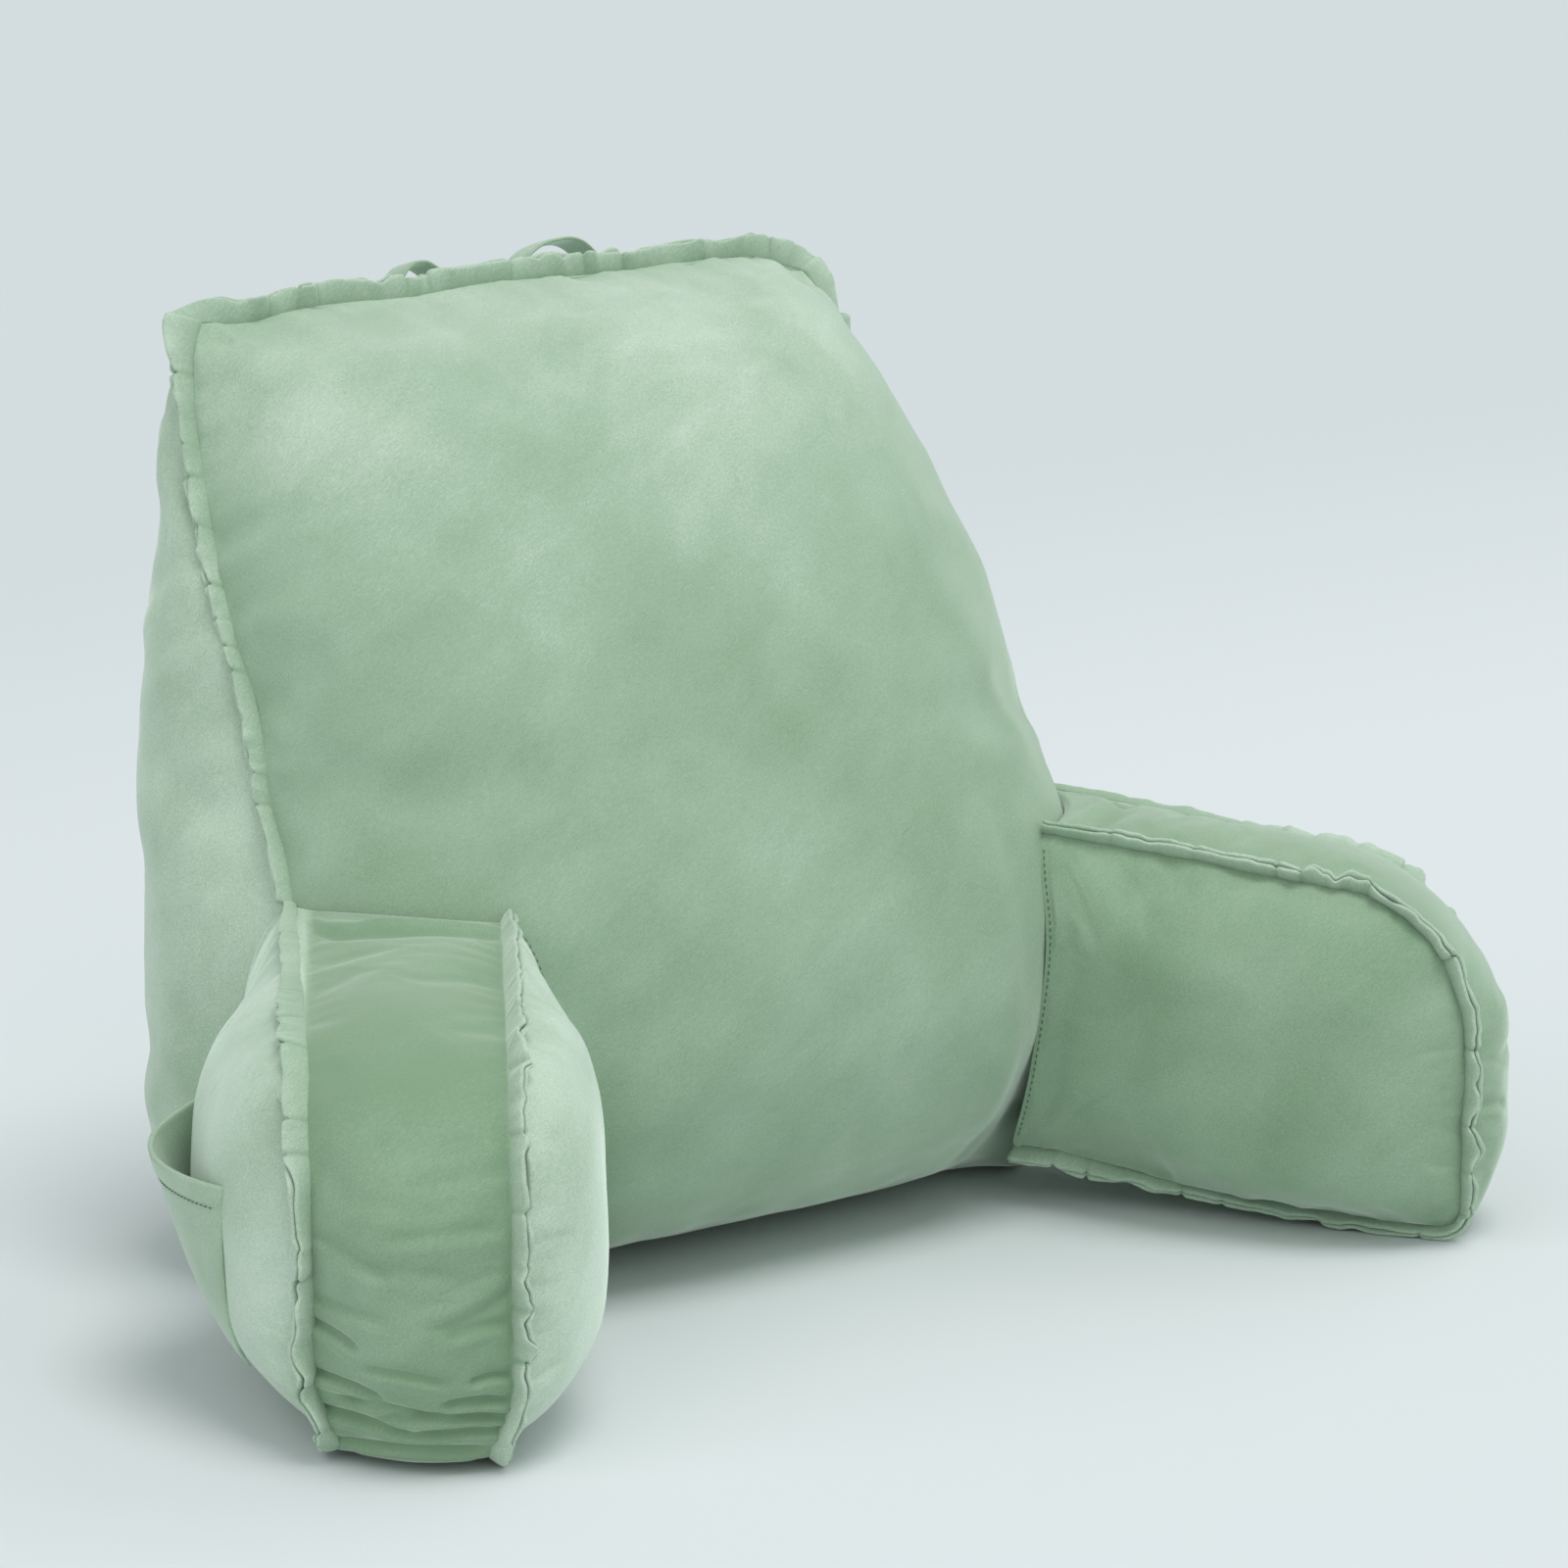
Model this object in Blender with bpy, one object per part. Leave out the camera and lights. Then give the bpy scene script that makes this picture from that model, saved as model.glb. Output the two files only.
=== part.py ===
"""Backrest pillow: a filled wedge with a crowned front, two filled arms, ruffled seam edges,
a patch pocket on one arm and a carry strap behind the top seam.

Metres, +Z up, the front towards -Y and the pocket's arm on the -X side. The origin is on the
flat foot of the backrest, on the floor.
"""

import math
from collections import namedtuple

import bmesh
import bpy
import numpy as np

CLEARANCE = 0.0003  # between pieces that are sewn to each other
FLOOR_GAP = 0.001  # the lowest ruffle keeps this from the floor
MERGE_DISTANCE = 1e-6
SHARP_ANGLE = math.radians(50)
SEAM_SAMPLES = 60

# Backrest, one row for each level, from the floor up. The seam joins front panel and side panel.
Level = namedtuple("Level", "height half_width seam_y back_half back_y front_crown side_crown")
LEVELS = (
    Level(0.000, 0.268, -0.045, 0.225, 0.132, 0.097, 0.024),
    Level(0.030, 0.279, -0.051, 0.234, 0.146, 0.115, 0.043),
    Level(0.080, 0.285, -0.055, 0.238, 0.150, 0.137, 0.056),
    Level(0.150, 0.286, -0.056, 0.238, 0.150, 0.143, 0.061),
    Level(0.235, 0.278, -0.047, 0.236, 0.152, 0.133, 0.062),
    Level(0.300, 0.271, -0.011, 0.235, 0.154, 0.141, 0.057),
    Level(0.343, 0.269, 0.006, 0.235, 0.155, 0.136, 0.050),
    Level(0.398, 0.266, 0.038, 0.233, 0.155, 0.134, 0.040),
    Level(0.430, 0.262, 0.060, 0.231, 0.155, 0.136, 0.034),
    Level(0.473, 0.253, 0.088, 0.230, 0.154, 0.131, 0.026),
    Level(0.515, 0.244, 0.112, 0.229, 0.150, 0.110, 0.015),
    Level(0.545, 0.235, 0.125, 0.229, 0.140, 0.060, 0.005),
    Level(0.558, 0.2285, 0.130, 0.2285, 0.134, 0.004, 0.000),
)
FRONT_FULLNESS = (3.2, 0.60)  # powers of the front panel's crown across its width
SIDE_LEAN = 1.2  # moves the side panel's fullest line towards the back
BACK_CROWN = 0.016
BACK_CROWN_FADE = 0.125  # the back is drawn in over this height below the top seam
BACK_CROWN_LEAST = 0.02  # share of the back's crown that is left at the top seam
FRONT_LIFT = 0.030  # the front lower edge between the arms stands this far off the floor
LIFT_START_Y, LIFT_END_Y = -0.045, -0.135
LIFT_HALF_WIDTH = 0.26
LIFT_FULL_SHARE = 0.7  # of the half width
LIFT_FADE_HEIGHT = 0.16
FRONT_STEPS, SIDE_STEPS, LEVEL_STEPS = 26, 8, 26
LEVEL_BUNCHING = 0.06

# Arms, on the +X side; the other one is its mirror image. The inner and outer seams start
# at the backrest and end at the front of the arm.
INNER_START, INNER_END = np.array((0.205, -0.156)), np.array((0.3475, -0.3735))
OUTER_START, OUTER_END = np.array((0.290, -0.066)), np.array((0.423, -0.292))
ARM_REACH = 0.26  # length of the arm at its inner seam
ARM_ROOT = -0.075  # the arm is modelled on into the backrest, then cut off along it
ARM_HEIGHT = 0.238
ARM_DROP = 0.020  # the top seam slopes down by this to the shoulder
SHOULDER_RADII = (0.085, 0.095)  # along and up
TOE_RADIUS = 0.022
SEAM_FLOOR = 0.007  # the bottom seam of an arm lies this far off the floor
ROOT_LIFT = 0.028  # and rises by this at the backrest
ROOT_LIFT_REACH = 0.12
TUCK_HEIGHT = 0.05
PANEL_CENTRE = (0.105, 0.120)  # along and up, the middle of an arm panel
PANEL_ROOT_SHARE = 0.5  # of the crown, where the panel meets the backrest
PANEL_CROWNS = (0.053, 0.064)  # of the inner and the outer panel
PANEL_FULLNESS = (2.3, 0.7)  # powers of a panel's crown
STRIP_CROWN = 0.018
STRIP_FULLNESS = 0.8
STRIP_TUCK = 0.014  # each seam of the strip is drawn in by this at the floor
ARM_STEPS, STRIP_STEPS, PANEL_STEPS = 56, 7, 7
ARM_SEAM_SAMPLES = 400

# Ruffled seam edges: both layers of velvet stand out of the seam
RUFFLE_WIDTH = 0.014
RUFFLE_THICKNESS = 0.0036
RUFFLE_WAVE = 0.0030
RUFFLE_PITCH = 0.042
RUFFLE_STEP = 0.0085
RUFFLE_DRIFT = (1.2, 0.047)  # how far and over what length the pitch wanders
RUFFLE_UNEVEN = (0.14, 0.61)  # share of the width that comes and goes, and how often in a wave
RUFFLE_SEAT = 0.0008  # from the seam to the pinched foot of a ruffle
RUFFLE_PINCH = 0.0016  # thickness at the seam
BACK_RUFFLE_START = 0.250
SIDE_AIM = (0.82, 0.38, 0.20)  # the way a side ruffle stands out of its seam
TOP_AIM = (0.0, 0.06, 1.0)
CORNER_TURN = 0.030  # length over which the ruffle turns up at a top corner
FRONT_MARGIN, SIDE_MARGIN = 0.001, 0.003
RIM_LEAN = (1.0, 0.6)  # outward share of the way an arm's inner and outer ruffle stands
FLOOR_TURN = 0.65  # how far a ruffle turns flat at the floor

# Patch pocket on the outer panel of the -X arm, along and up
POCKET_FRONT, POCKET_BACK = 0.213, 0.040
POCKET_BOTTOM = 0.040
POCKET_MOUTH_FRONT, POCKET_MOUTH_BACK = 0.141, 0.150
POCKET_THICKNESS = 0.0022
POCKET_GAPE = 0.017
POCKET_FULLNESS = (0.8, 2.0)  # powers of the gape across and up the pocket
POCKET_SEAT = 0.0014
POCKET_STEPS = 10

# Carry strap behind the top seam
STRAP_WIDTH = 0.026
STRAP_THICKNESS = 0.003
STRAP_ENDS = (-0.095, 0.090)
STRAP_SEAT = (0.1438, 0.5461)  # y and z of its middle where it is sewn down
STRAP_RISE = (0.35, 0.94)
STRAP_LEAN = (0.50, -0.866)
STRAP_STEPS = 34
Hump = namedtuple("Hump", "share lift")
STRAP_HUMPS = (
    Hump(0.00, 0.000),
    Hump(0.05, 0.006),
    Hump(0.16, 0.024),
    Hump(0.30, 0.010),
    Hump(0.50, 0.008),
    Hump(0.66, 0.022),
    Hump(0.79, 0.034),
    Hump(0.93, 0.013),
    Hump(1.00, 0.000),
)

CLOTH_ROUGHNESS = 0.85
PIECE_COLOURS = {
    "backrest": (0.42, 0.56, 0.44),
    "arm": (0.38, 0.52, 0.41),
    "ruffle": (0.36, 0.50, 0.39),
    "pocket": (0.40, 0.54, 0.42),
    "strap": (0.33, 0.46, 0.36),
}


def clear_scene():
    """Take every object out of the open scene."""
    for obj in list(bpy.data.objects):
        bpy.data.objects.remove(obj, do_unlink=True)


def velvet(piece):
    """A plain Principled material in the piece's shade of the cloth."""
    colour = PIECE_COLOURS[piece]
    material = bpy.data.materials.new(f"velvet_{piece}")
    material.use_nodes = True
    shader = material.node_tree.nodes["Principled BSDF"]
    shader.inputs["Base Color"].default_value = (*colour, 1.0)
    shader.inputs["Roughness"].default_value = CLOTH_ROUGHNESS
    shader.inputs["Metallic"].default_value = 0.0
    material.diffuse_color = (*colour, 1.0)
    return material


def add_object(name, vertices, faces, material):
    """A closed mesh with its faces turned outwards, shaded smooth but for its sharp seams."""
    mesh = bpy.data.meshes.new(name)
    mesh.from_pydata([tuple(v) for v in vertices], [], [tuple(int(i) for i in f) for f in faces])
    work = bmesh.new()
    work.from_mesh(mesh)
    bmesh.ops.remove_doubles(work, verts=work.verts, dist=MERGE_DISTANCE)
    bmesh.ops.recalc_face_normals(work, faces=work.faces)
    bmesh.ops.triangulate(work, faces=work.faces)  # a cutter then has the same diagonals
    work.to_mesh(mesh)
    work.free()
    mesh.shade_smooth()
    mesh.set_sharp_from_angle(angle=SHARP_ANGLE)
    mesh.materials.append(material)
    obj = bpy.data.objects.new(name, mesh)
    bpy.context.scene.collection.objects.link(obj)
    return obj


def through(xs, ys, x):
    """A smooth curve through the points (xs, ys): cubic pieces with the neighbours' mean slope."""
    xs, ys, x = np.asarray(xs, float), np.asarray(ys, float), np.asarray(x, float)
    slopes = np.gradient(ys, xs)
    i = np.clip(np.searchsorted(xs, x, side="right") - 1, 0, len(xs) - 2)
    span = xs[i + 1] - xs[i]
    t = (x - xs[i]) / span
    return (
        (2 * t**3 - 3 * t**2 + 1) * ys[i]
        + (t**3 - 2 * t**2 + t) * span * slopes[i]
        + (3 * t**2 - 2 * t**3) * ys[i + 1]
        + (t**3 - t**2) * span * slopes[i + 1]
    )


def ease(t):
    """From 0 to 1 with level ends."""
    t = np.clip(t, 0.0, 1.0)
    return t * t * (3 - 2 * t)


def level_at(height):
    """The backrest's measures at a height, read smoothly from LEVELS."""
    heights = [row.height for row in LEVELS]
    measures = [
        through(heights, [row[k] for row in LEVELS], height) for k in range(1, len(Level._fields))
    ]
    return Level(height, *measures)


def front_lift(x, y, height):
    """How far the underside's front stands off the floor between the arms."""
    forward = ease((LIFT_START_Y - y) / (LIFT_START_Y - LIFT_END_Y))
    outward_share = (np.abs(x) / LIFT_HALF_WIDTH - LIFT_FULL_SHARE) / (1 - LIFT_FULL_SHARE)
    across = 1 - ease(outward_share)
    return FRONT_LIFT * forward * across * (1 - ease(height / LIFT_FADE_HEIGHT))


def backrest_ring(height):
    """The level's outline: front from -X to +X, +X side, back, -X side."""
    row = level_at(height)
    t = np.linspace(0, 1, FRONT_STEPS, endpoint=False)
    s = np.linspace(0, 1, SIDE_STEPS, endpoint=False)
    power, fullness = FRONT_FULLNESS
    across = -np.cos(np.pi * t)
    front = np.stack(
        [
            row.half_width * across,
            row.seam_y - row.front_crown * (1 - np.abs(across) ** power) ** fullness,
        ]
    )
    bulge = np.sin(np.pi * s**SIDE_LEAN)
    side = np.stack(
        [
            row.half_width + (row.back_half - row.half_width) * s + row.side_crown * bulge,
            row.seam_y + (row.back_y - row.seam_y) * s,
        ]
    )
    share = (LEVELS[-1].height - height) / BACK_CROWN_FADE + BACK_CROWN_LEAST
    crown = BACK_CROWN * min(1.0, share)
    back = np.stack(
        [row.back_half * -across, row.back_y + crown * np.sqrt(np.clip(1 - across**2, 0, 1))]
    )
    other = np.stack([-side[0][::-1], side[1][::-1]])
    other = np.concatenate([[[-row.back_half], [row.back_y]], other[:, :-1]], axis=1)
    x, y = np.concatenate([front, side, back, other], axis=1)
    z = height + front_lift(x, y, height)
    return np.stack([x, y, z], axis=1)


def cap(points, ring, columns, rows):
    """Close a ring of four sides, columns and rows long, with a grid blended from its edges."""
    index = np.empty((rows + 1, columns + 1), int)
    index[0, :] = ring[: columns + 1]
    index[:, columns] = ring[columns : columns + rows + 1]
    index[rows, ::-1] = ring[columns + rows : 2 * columns + rows + 1]
    index[::-1, 0] = np.append(ring[2 * columns + rows :], ring[0])
    new = len(points) + np.arange((rows - 1) * (columns - 1))
    index[1:rows, 1:columns] = new.reshape(rows - 1, -1)
    v = (np.arange(1, rows) / rows)[:, None, None]
    u = (np.arange(1, columns) / columns)[None, :, None]
    top, bottom = points[index[0, 1:-1]][None], points[index[rows, 1:-1]][None]
    left, right = points[index[1:-1, 0]][:, None], points[index[1:-1, columns]][:, None]
    c = points[index[[0, 0, rows, rows], [0, columns, 0, columns]]]
    edges = (1 - v) * top + v * bottom + (1 - u) * left + u * right
    corners = (1 - v) * ((1 - u) * c[0] + u * c[1]) + v * ((1 - u) * c[2] + u * c[3])
    inner = (edges - corners).reshape(-1, 3)
    faces = np.stack([index[:-1, :-1], index[:-1, 1:], index[1:, 1:], index[1:, :-1]], axis=-1)
    return np.concatenate([points, inner]), faces.reshape(-1, 4)


def tube_faces(rows, around, first=0):
    """Quads between rows of points that each run round in a closed loop."""
    j, i = np.meshgrid(np.arange(rows - 1), np.arange(around), indexing="ij")
    k = (i + 1) % around
    corners = (j * around + i, j * around + k, (j + 1) * around + k, (j + 1) * around + i)
    return first + np.stack(corners, axis=-1).reshape(-1, 4)


def backrest_mesh():
    """Rings from the floor to the top seam, closed above and below."""
    steps = np.linspace(0, 1, LEVEL_STEPS)
    heights = LEVELS[-1].height * (steps - LEVEL_BUNCHING * np.sin(2 * np.pi * steps))
    rings = [backrest_ring(height) for height in heights]
    around = len(rings[0])
    points = np.concatenate(rings)
    low = np.arange(around)
    high = low + (LEVEL_STEPS - 1) * around
    first = len(points)
    points, low_faces = cap(points, low, FRONT_STEPS, SIDE_STEPS)
    x, y = points[first:, 0], points[first:, 1]
    points[first:, 2] = front_lift(x, y, 0.0)
    points, high_faces = cap(points, high, FRONT_STEPS, SIDE_STEPS)
    return points, np.concatenate([tube_faces(LEVEL_STEPS, around), low_faces, high_faces])


def arm_top(along):
    """Height of an arm's top seam: a slight slope, then the shoulder's quarter ellipse."""
    reach, up = SHOULDER_RADII
    slope = ARM_HEIGHT - ARM_DROP * np.minimum(along / (ARM_REACH - reach), 1)
    turn = np.clip((along - ARM_REACH + reach) / reach, 0, 1)
    return slope - up + up * np.sqrt(1 - turn**2)


def arm_bottom(along):
    """Height of an arm's bottom seam: it rises to the backrest and turns up at the toe."""
    turn = np.clip((along - ARM_REACH + TOE_RADIUS) / TOE_RADIUS, 0, 1)
    toe = TOE_RADIUS * (1 - np.sqrt(1 - turn**2))
    return SEAM_FLOOR + ROOT_LIFT * ease(1 - along / ROOT_LIFT_REACH) + toe


def arm_outline(count):
    """The seam line of an arm panel as (along, up), evenly spaced round from the top of the root."""
    rounding = np.sin(np.linspace(0, np.pi / 2, SEAM_SAMPLES))
    out = ARM_ROOT + (ARM_REACH - ARM_ROOT) * rounding
    along = np.concatenate([out, out[::-1], [ARM_ROOT]])
    height = np.concatenate([arm_top(out), arm_bottom(out[::-1]), [arm_top(ARM_ROOT)]])
    length = np.concatenate([[0], np.cumsum(np.hypot(np.diff(along), np.diff(height)))])
    at = np.linspace(0, length[-1], count, endpoint=False)
    return np.interp(at, length, along), np.interp(at, length, height)


def outward(along, height):
    """Unit vectors that point out of a closed outline that runs clockwise in (along, up)."""
    da = np.roll(along, -1) - np.roll(along, 1)
    dz = np.roll(height, -1) - np.roll(height, 1)
    size = np.hypot(da, dz)
    return -dz / size, da / size


def arm_point(along, height, across):
    """A point of the arm's box: across is 0 at the inner seam and 1 at the outer seam."""
    share = np.asarray(along)[..., None] / ARM_REACH
    inner = INNER_START + (INNER_END - INNER_START) * share
    outer = OUTER_START + (OUTER_END - OUTER_START) * share
    drawn_in = STRIP_TUCK * (1 - ease(np.asarray(height) / TUCK_HEIGHT))
    tuck = drawn_in / np.linalg.norm(OUTER_END - INNER_END)
    across = (tuck + (1 - 2 * tuck) * across)[..., None]
    plan = inner + (outer - inner) * across
    return np.concatenate([plan, np.asarray(height)[..., None]], axis=-1)


ARM_AXIS = np.append((INNER_END - INNER_START) / np.linalg.norm(INNER_END - INNER_START), 0.0)
PANEL_NORMAL = np.array((-ARM_AXIS[1], ARM_AXIS[0], 0.0))


def panel_rise(along, height):
    """Share of a panel's crown over (along, up): full in its middle, nothing on its seams."""
    top, bottom = arm_top(along), arm_bottom(along)
    upright = np.clip(np.abs(2 * height - top - bottom) / np.maximum(top - bottom, 1e-6), 0, 1)
    forward = np.clip((along - PANEL_CENTRE[0]) / (ARM_REACH - PANEL_CENTRE[0]), 0, 1)
    root = 1 - (1 - PANEL_ROOT_SHARE) * ease(1 - along / PANEL_CENTRE[0])
    power, fullness = PANEL_FULLNESS
    return ((1 - upright**power) * (1 - forward**power)) ** fullness * root


def arm_mesh(count):
    """A closed strip between two seams, and a crowned panel of shrinking rings on each side."""
    along, height = arm_outline(count)
    out_along, out_up = outward(along, height)
    strip = []
    for across in np.linspace(0, 1, STRIP_STEPS + 1):
        rise = STRIP_CROWN * math.sin(math.pi * across) ** STRIP_FULLNESS
        flat = np.full(count, across)
        points = arm_point(along, height, flat)
        points += rise * (out_along[:, None] * ARM_AXIS + out_up[:, None] * (0, 0, 1))
        points[:, 2] = np.maximum(points[:, 2], 0.0)
        strip.append(points)
    rings = []
    for across, side in ((0.0, -1.0), (1.0, 1.0)):
        full = PANEL_CROWNS[int(across)]
        for k in range(1, PANEL_STEPS):
            radius = math.cos(math.pi / 2 * k / PANEL_STEPS)
            ring_along = PANEL_CENTRE[0] + (along - PANEL_CENTRE[0]) * radius
            ring_height = PANEL_CENTRE[1] + (height - PANEL_CENTRE[1]) * radius
            points = arm_point(ring_along, ring_height, np.full(count, across))
            rise = full * panel_rise(ring_along, ring_height)[:, None]
            rings.append(points + side * rise * PANEL_NORMAL)
        middle = arm_point(np.array([PANEL_CENTRE[0]]), np.array([PANEL_CENTRE[1]]), np.array([across]))
        rise = full * panel_rise(*PANEL_CENTRE)
        rings.append(middle + side * rise * PANEL_NORMAL)
    points = np.concatenate(strip + rings)
    faces = [tuple(f) for f in tube_faces(STRIP_STEPS + 1, count)]
    first = (STRIP_STEPS + 1) * count
    for seam in (0, STRIP_STEPS * count):
        inner = tube_faces(PANEL_STEPS - 1, count, first)
        loop = [(seam + i, seam + (i + 1) % count) for i in range(count)]
        faces += [(a, b, first + (i + 1) % count, first + i) for i, (a, b) in enumerate(loop)]
        faces += [tuple(f) for f in inner]
        last = first + (PANEL_STEPS - 2) * count
        middle = last + count
        faces += [(last + i, last + (i + 1) % count, middle) for i in range(count)]
        first = middle + 1
    return points, faces


def mirrored(points, side):
    """The points as they are for the +X side, or with X turned round for the -X side."""
    return points * np.array((side, 1.0, 1.0))


def add_cutter(name, points, faces, material):
    """A hidden solid, larger all round by the clearance, that other pieces are cut back to."""
    cutter = add_object(name, points, faces, material)
    work = bmesh.new()
    work.from_mesh(cutter.data)
    work.normal_update()
    moves = [v.normal * v.calc_shell_factor() * CLEARANCE for v in work.verts]
    for vertex, move in zip(work.verts, moves):
        vertex.co += move
    work.to_mesh(cutter.data)
    work.free()
    cutter.hide_render = True
    cutter.display_type = "WIRE"
    return cutter


def cut_back(obj, cutter):
    """Take the cutter's shape out of the object."""
    cut = obj.modifiers.new("Seam", "BOOLEAN")
    cut.operation = "DIFFERENCE"
    cut.object = cutter


def even_path(points, directions, step):
    """The path and its directions read at even steps along its length."""
    length = np.concatenate([[0], np.cumsum(np.linalg.norm(np.diff(points, axis=0), axis=1))])
    at = np.linspace(0, length[-1], max(4, int(round(length[-1] / step))))
    path = np.stack([np.interp(at, length, points[:, k]) for k in range(3)], axis=1)
    aim = np.stack([np.interp(at, length, directions[:, k]) for k in range(3)], axis=1)
    return at, path, aim / np.linalg.norm(aim, axis=1)[:, None]


def ruffle_mesh(points, directions, phase):
    """A waving edge of two layers, pinched at its seam and open at its rim."""
    at, path, aim = even_path(points, directions, RUFFLE_STEP)
    along = np.gradient(path, axis=0)
    along /= np.linalg.norm(along, axis=1)[:, None]
    sideways = np.cross(along, aim)
    sideways /= np.linalg.norm(sideways, axis=1)[:, None]
    drift, drift_length = RUFFLE_DRIFT
    beat = 2 * np.pi * at / RUFFLE_PITCH + drift * np.sin(at / drift_length + phase)
    wave = RUFFLE_WAVE * np.sin(beat)
    share, rate = RUFFLE_UNEVEN
    width = RUFFLE_WIDTH * (1 + share * np.sin(rate * beat + phase))
    base = path + RUFFLE_SEAT * aim
    rim = base + width[:, None] * aim + wave[:, None] * sideways
    rows = np.stack([
        base - RUFFLE_PINCH / 2 * sideways,
        base + RUFFLE_PINCH / 2 * sideways,
        rim + RUFFLE_THICKNESS / 2 * sideways,
        rim - RUFFLE_THICKNESS / 2 * sideways,
    ], axis=1)
    rows[..., 2] = np.maximum(rows[..., 2], FLOOR_GAP)
    lying = FLOOR_GAP + np.array((0.0, RUFFLE_THICKNESS / 2))  # two layers flat on the floor
    rows[:, 2:, 2] = np.where(rows[:, 2:, 2] <= FLOOR_GAP, lying, rows[:, 2:, 2])
    faces = [tuple(f) for f in tube_faces(len(at), 4)]
    last = 4 * (len(at) - 1)
    faces += [(3, 2, 1, 0), (last, last + 1, last + 2, last + 3)]
    return rows.reshape(-1, 3), faces


def back_seam():
    """The seam that carries the back's ruffle: up one side, over the top and down the other."""
    top_row = LEVELS[-1]
    heights = np.linspace(BACK_RUFFLE_START, top_row.height, SEAM_SAMPLES)
    row = level_at(heights)
    up = np.stack([-row.half_width, row.seam_y, heights], axis=1)
    side = np.tile(np.array(SIDE_AIM) * (-1, 1, 1), (len(heights), 1))
    x = np.linspace(-top_row.half_width, top_row.half_width, SEAM_SAMPLES)[1:-1]
    middle_y = (top_row.seam_y + top_row.back_y) / 2
    top = np.stack([x, np.full_like(x, middle_y), np.full_like(x, top_row.height)], axis=1)
    turned = np.clip((top_row.half_width - np.abs(x)) / CORNER_TURN, 0, 1)[:, None]
    corner = np.array(SIDE_AIM) * np.stack([np.sign(x), np.ones_like(x), np.ones_like(x)], axis=1)
    over = corner * (1 - turned) + np.array(TOP_AIM) * turned
    down = up[::-1] * (-1, 1, 1)
    return np.concatenate([up, top, down]), np.concatenate([side, over, side * (-1, 1, 1)])


def clear_of_backrest(points):
    """True where a point on the +X side lies in front of or beside the backrest."""
    row = level_at(np.clip(points[:, 2], 0, LEVELS[-1].height))
    power, fullness = FRONT_FULLNESS
    share = np.clip(np.abs(points[:, 0]) / row.half_width, 0, 1)
    front = row.seam_y - row.front_crown * (1 - share**power) ** fullness
    side = row.half_width + SIDE_MARGIN
    return (points[:, 1] < front - FRONT_MARGIN) | (points[:, 0] > side)


def arm_seam(across):
    """One arm seam from the backrest over the top, down the front and back along the floor."""
    along, height = arm_outline(ARM_SEAM_SAMPLES)
    out_along, out_up = outward(along, height)
    side = -1.0 if across == 0 else 1.0
    points = arm_point(along, height, np.full(len(along), float(across)))
    radial = out_along[:, None] * ARM_AXIS + out_up[:, None] * np.array((0, 0, 1.0))
    low = 1 - ease(height / TUCK_HEIGHT)
    low = (low * (out_up < 0))[:, None]
    aim = radial * (1 - FLOOR_TURN * low) * RIM_LEAN[across] + side * PANEL_NORMAL
    aim /= np.linalg.norm(aim, axis=1)[:, None]
    rim = points + RUFFLE_WIDTH * aim
    keep = clear_of_backrest(points) & clear_of_backrest(rim)
    first = int(np.argmax(keep))
    last = len(keep) - int(np.argmax(keep[::-1]))
    return points[first:last], aim[first:last]


def panel_point(along, height, across):
    """A point of the crowned arm panel over (along, up)."""
    side = -1.0 if across == 0 else 1.0
    flat = arm_point(along, height, np.full(np.shape(along), float(across)))
    return flat + side * PANEL_CROWNS[across] * panel_rise(along, height)[..., None] * PANEL_NORMAL


def pocket_mesh():
    """A patch on the outer panel, sewn down at its sides and foot and gaping at its mouth."""
    share = np.linspace(0, 1, POCKET_STEPS + 1)
    u, v = np.meshgrid(share, share)
    along = POCKET_BACK + (POCKET_FRONT - POCKET_BACK) * u
    mouth = POCKET_MOUTH_BACK + (POCKET_MOUTH_FRONT - POCKET_MOUTH_BACK) * u
    height = POCKET_BOTTOM + (mouth - POCKET_BOTTOM) * v
    surface = panel_point(along, height, 1)
    across, upwards = POCKET_FULLNESS
    gap = POCKET_SEAT + POCKET_GAPE * np.sin(np.pi * u) ** across * v**upwards
    inside = surface + gap[..., None] * PANEL_NORMAL
    outside = inside + POCKET_THICKNESS * PANEL_NORMAL
    n = POCKET_STEPS + 1
    lower, upper = np.arange(2 * n * n).reshape(2, n, n)
    strips = [(layer[j], layer[j + 1]) for layer in (lower, upper) for j in range(POCKET_STEPS)]
    strips += [(lower[j], upper[j]) for j in (0, -1)]
    strips += [(lower[:, j], upper[:, j]) for j in (0, -1)]
    quads = [np.stack([a[:-1], a[1:], b[1:], b[:-1]], axis=-1) for a, b in strips]
    return np.concatenate([inside.reshape(-1, 3), outside.reshape(-1, 3)]), np.concatenate(quads)


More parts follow.
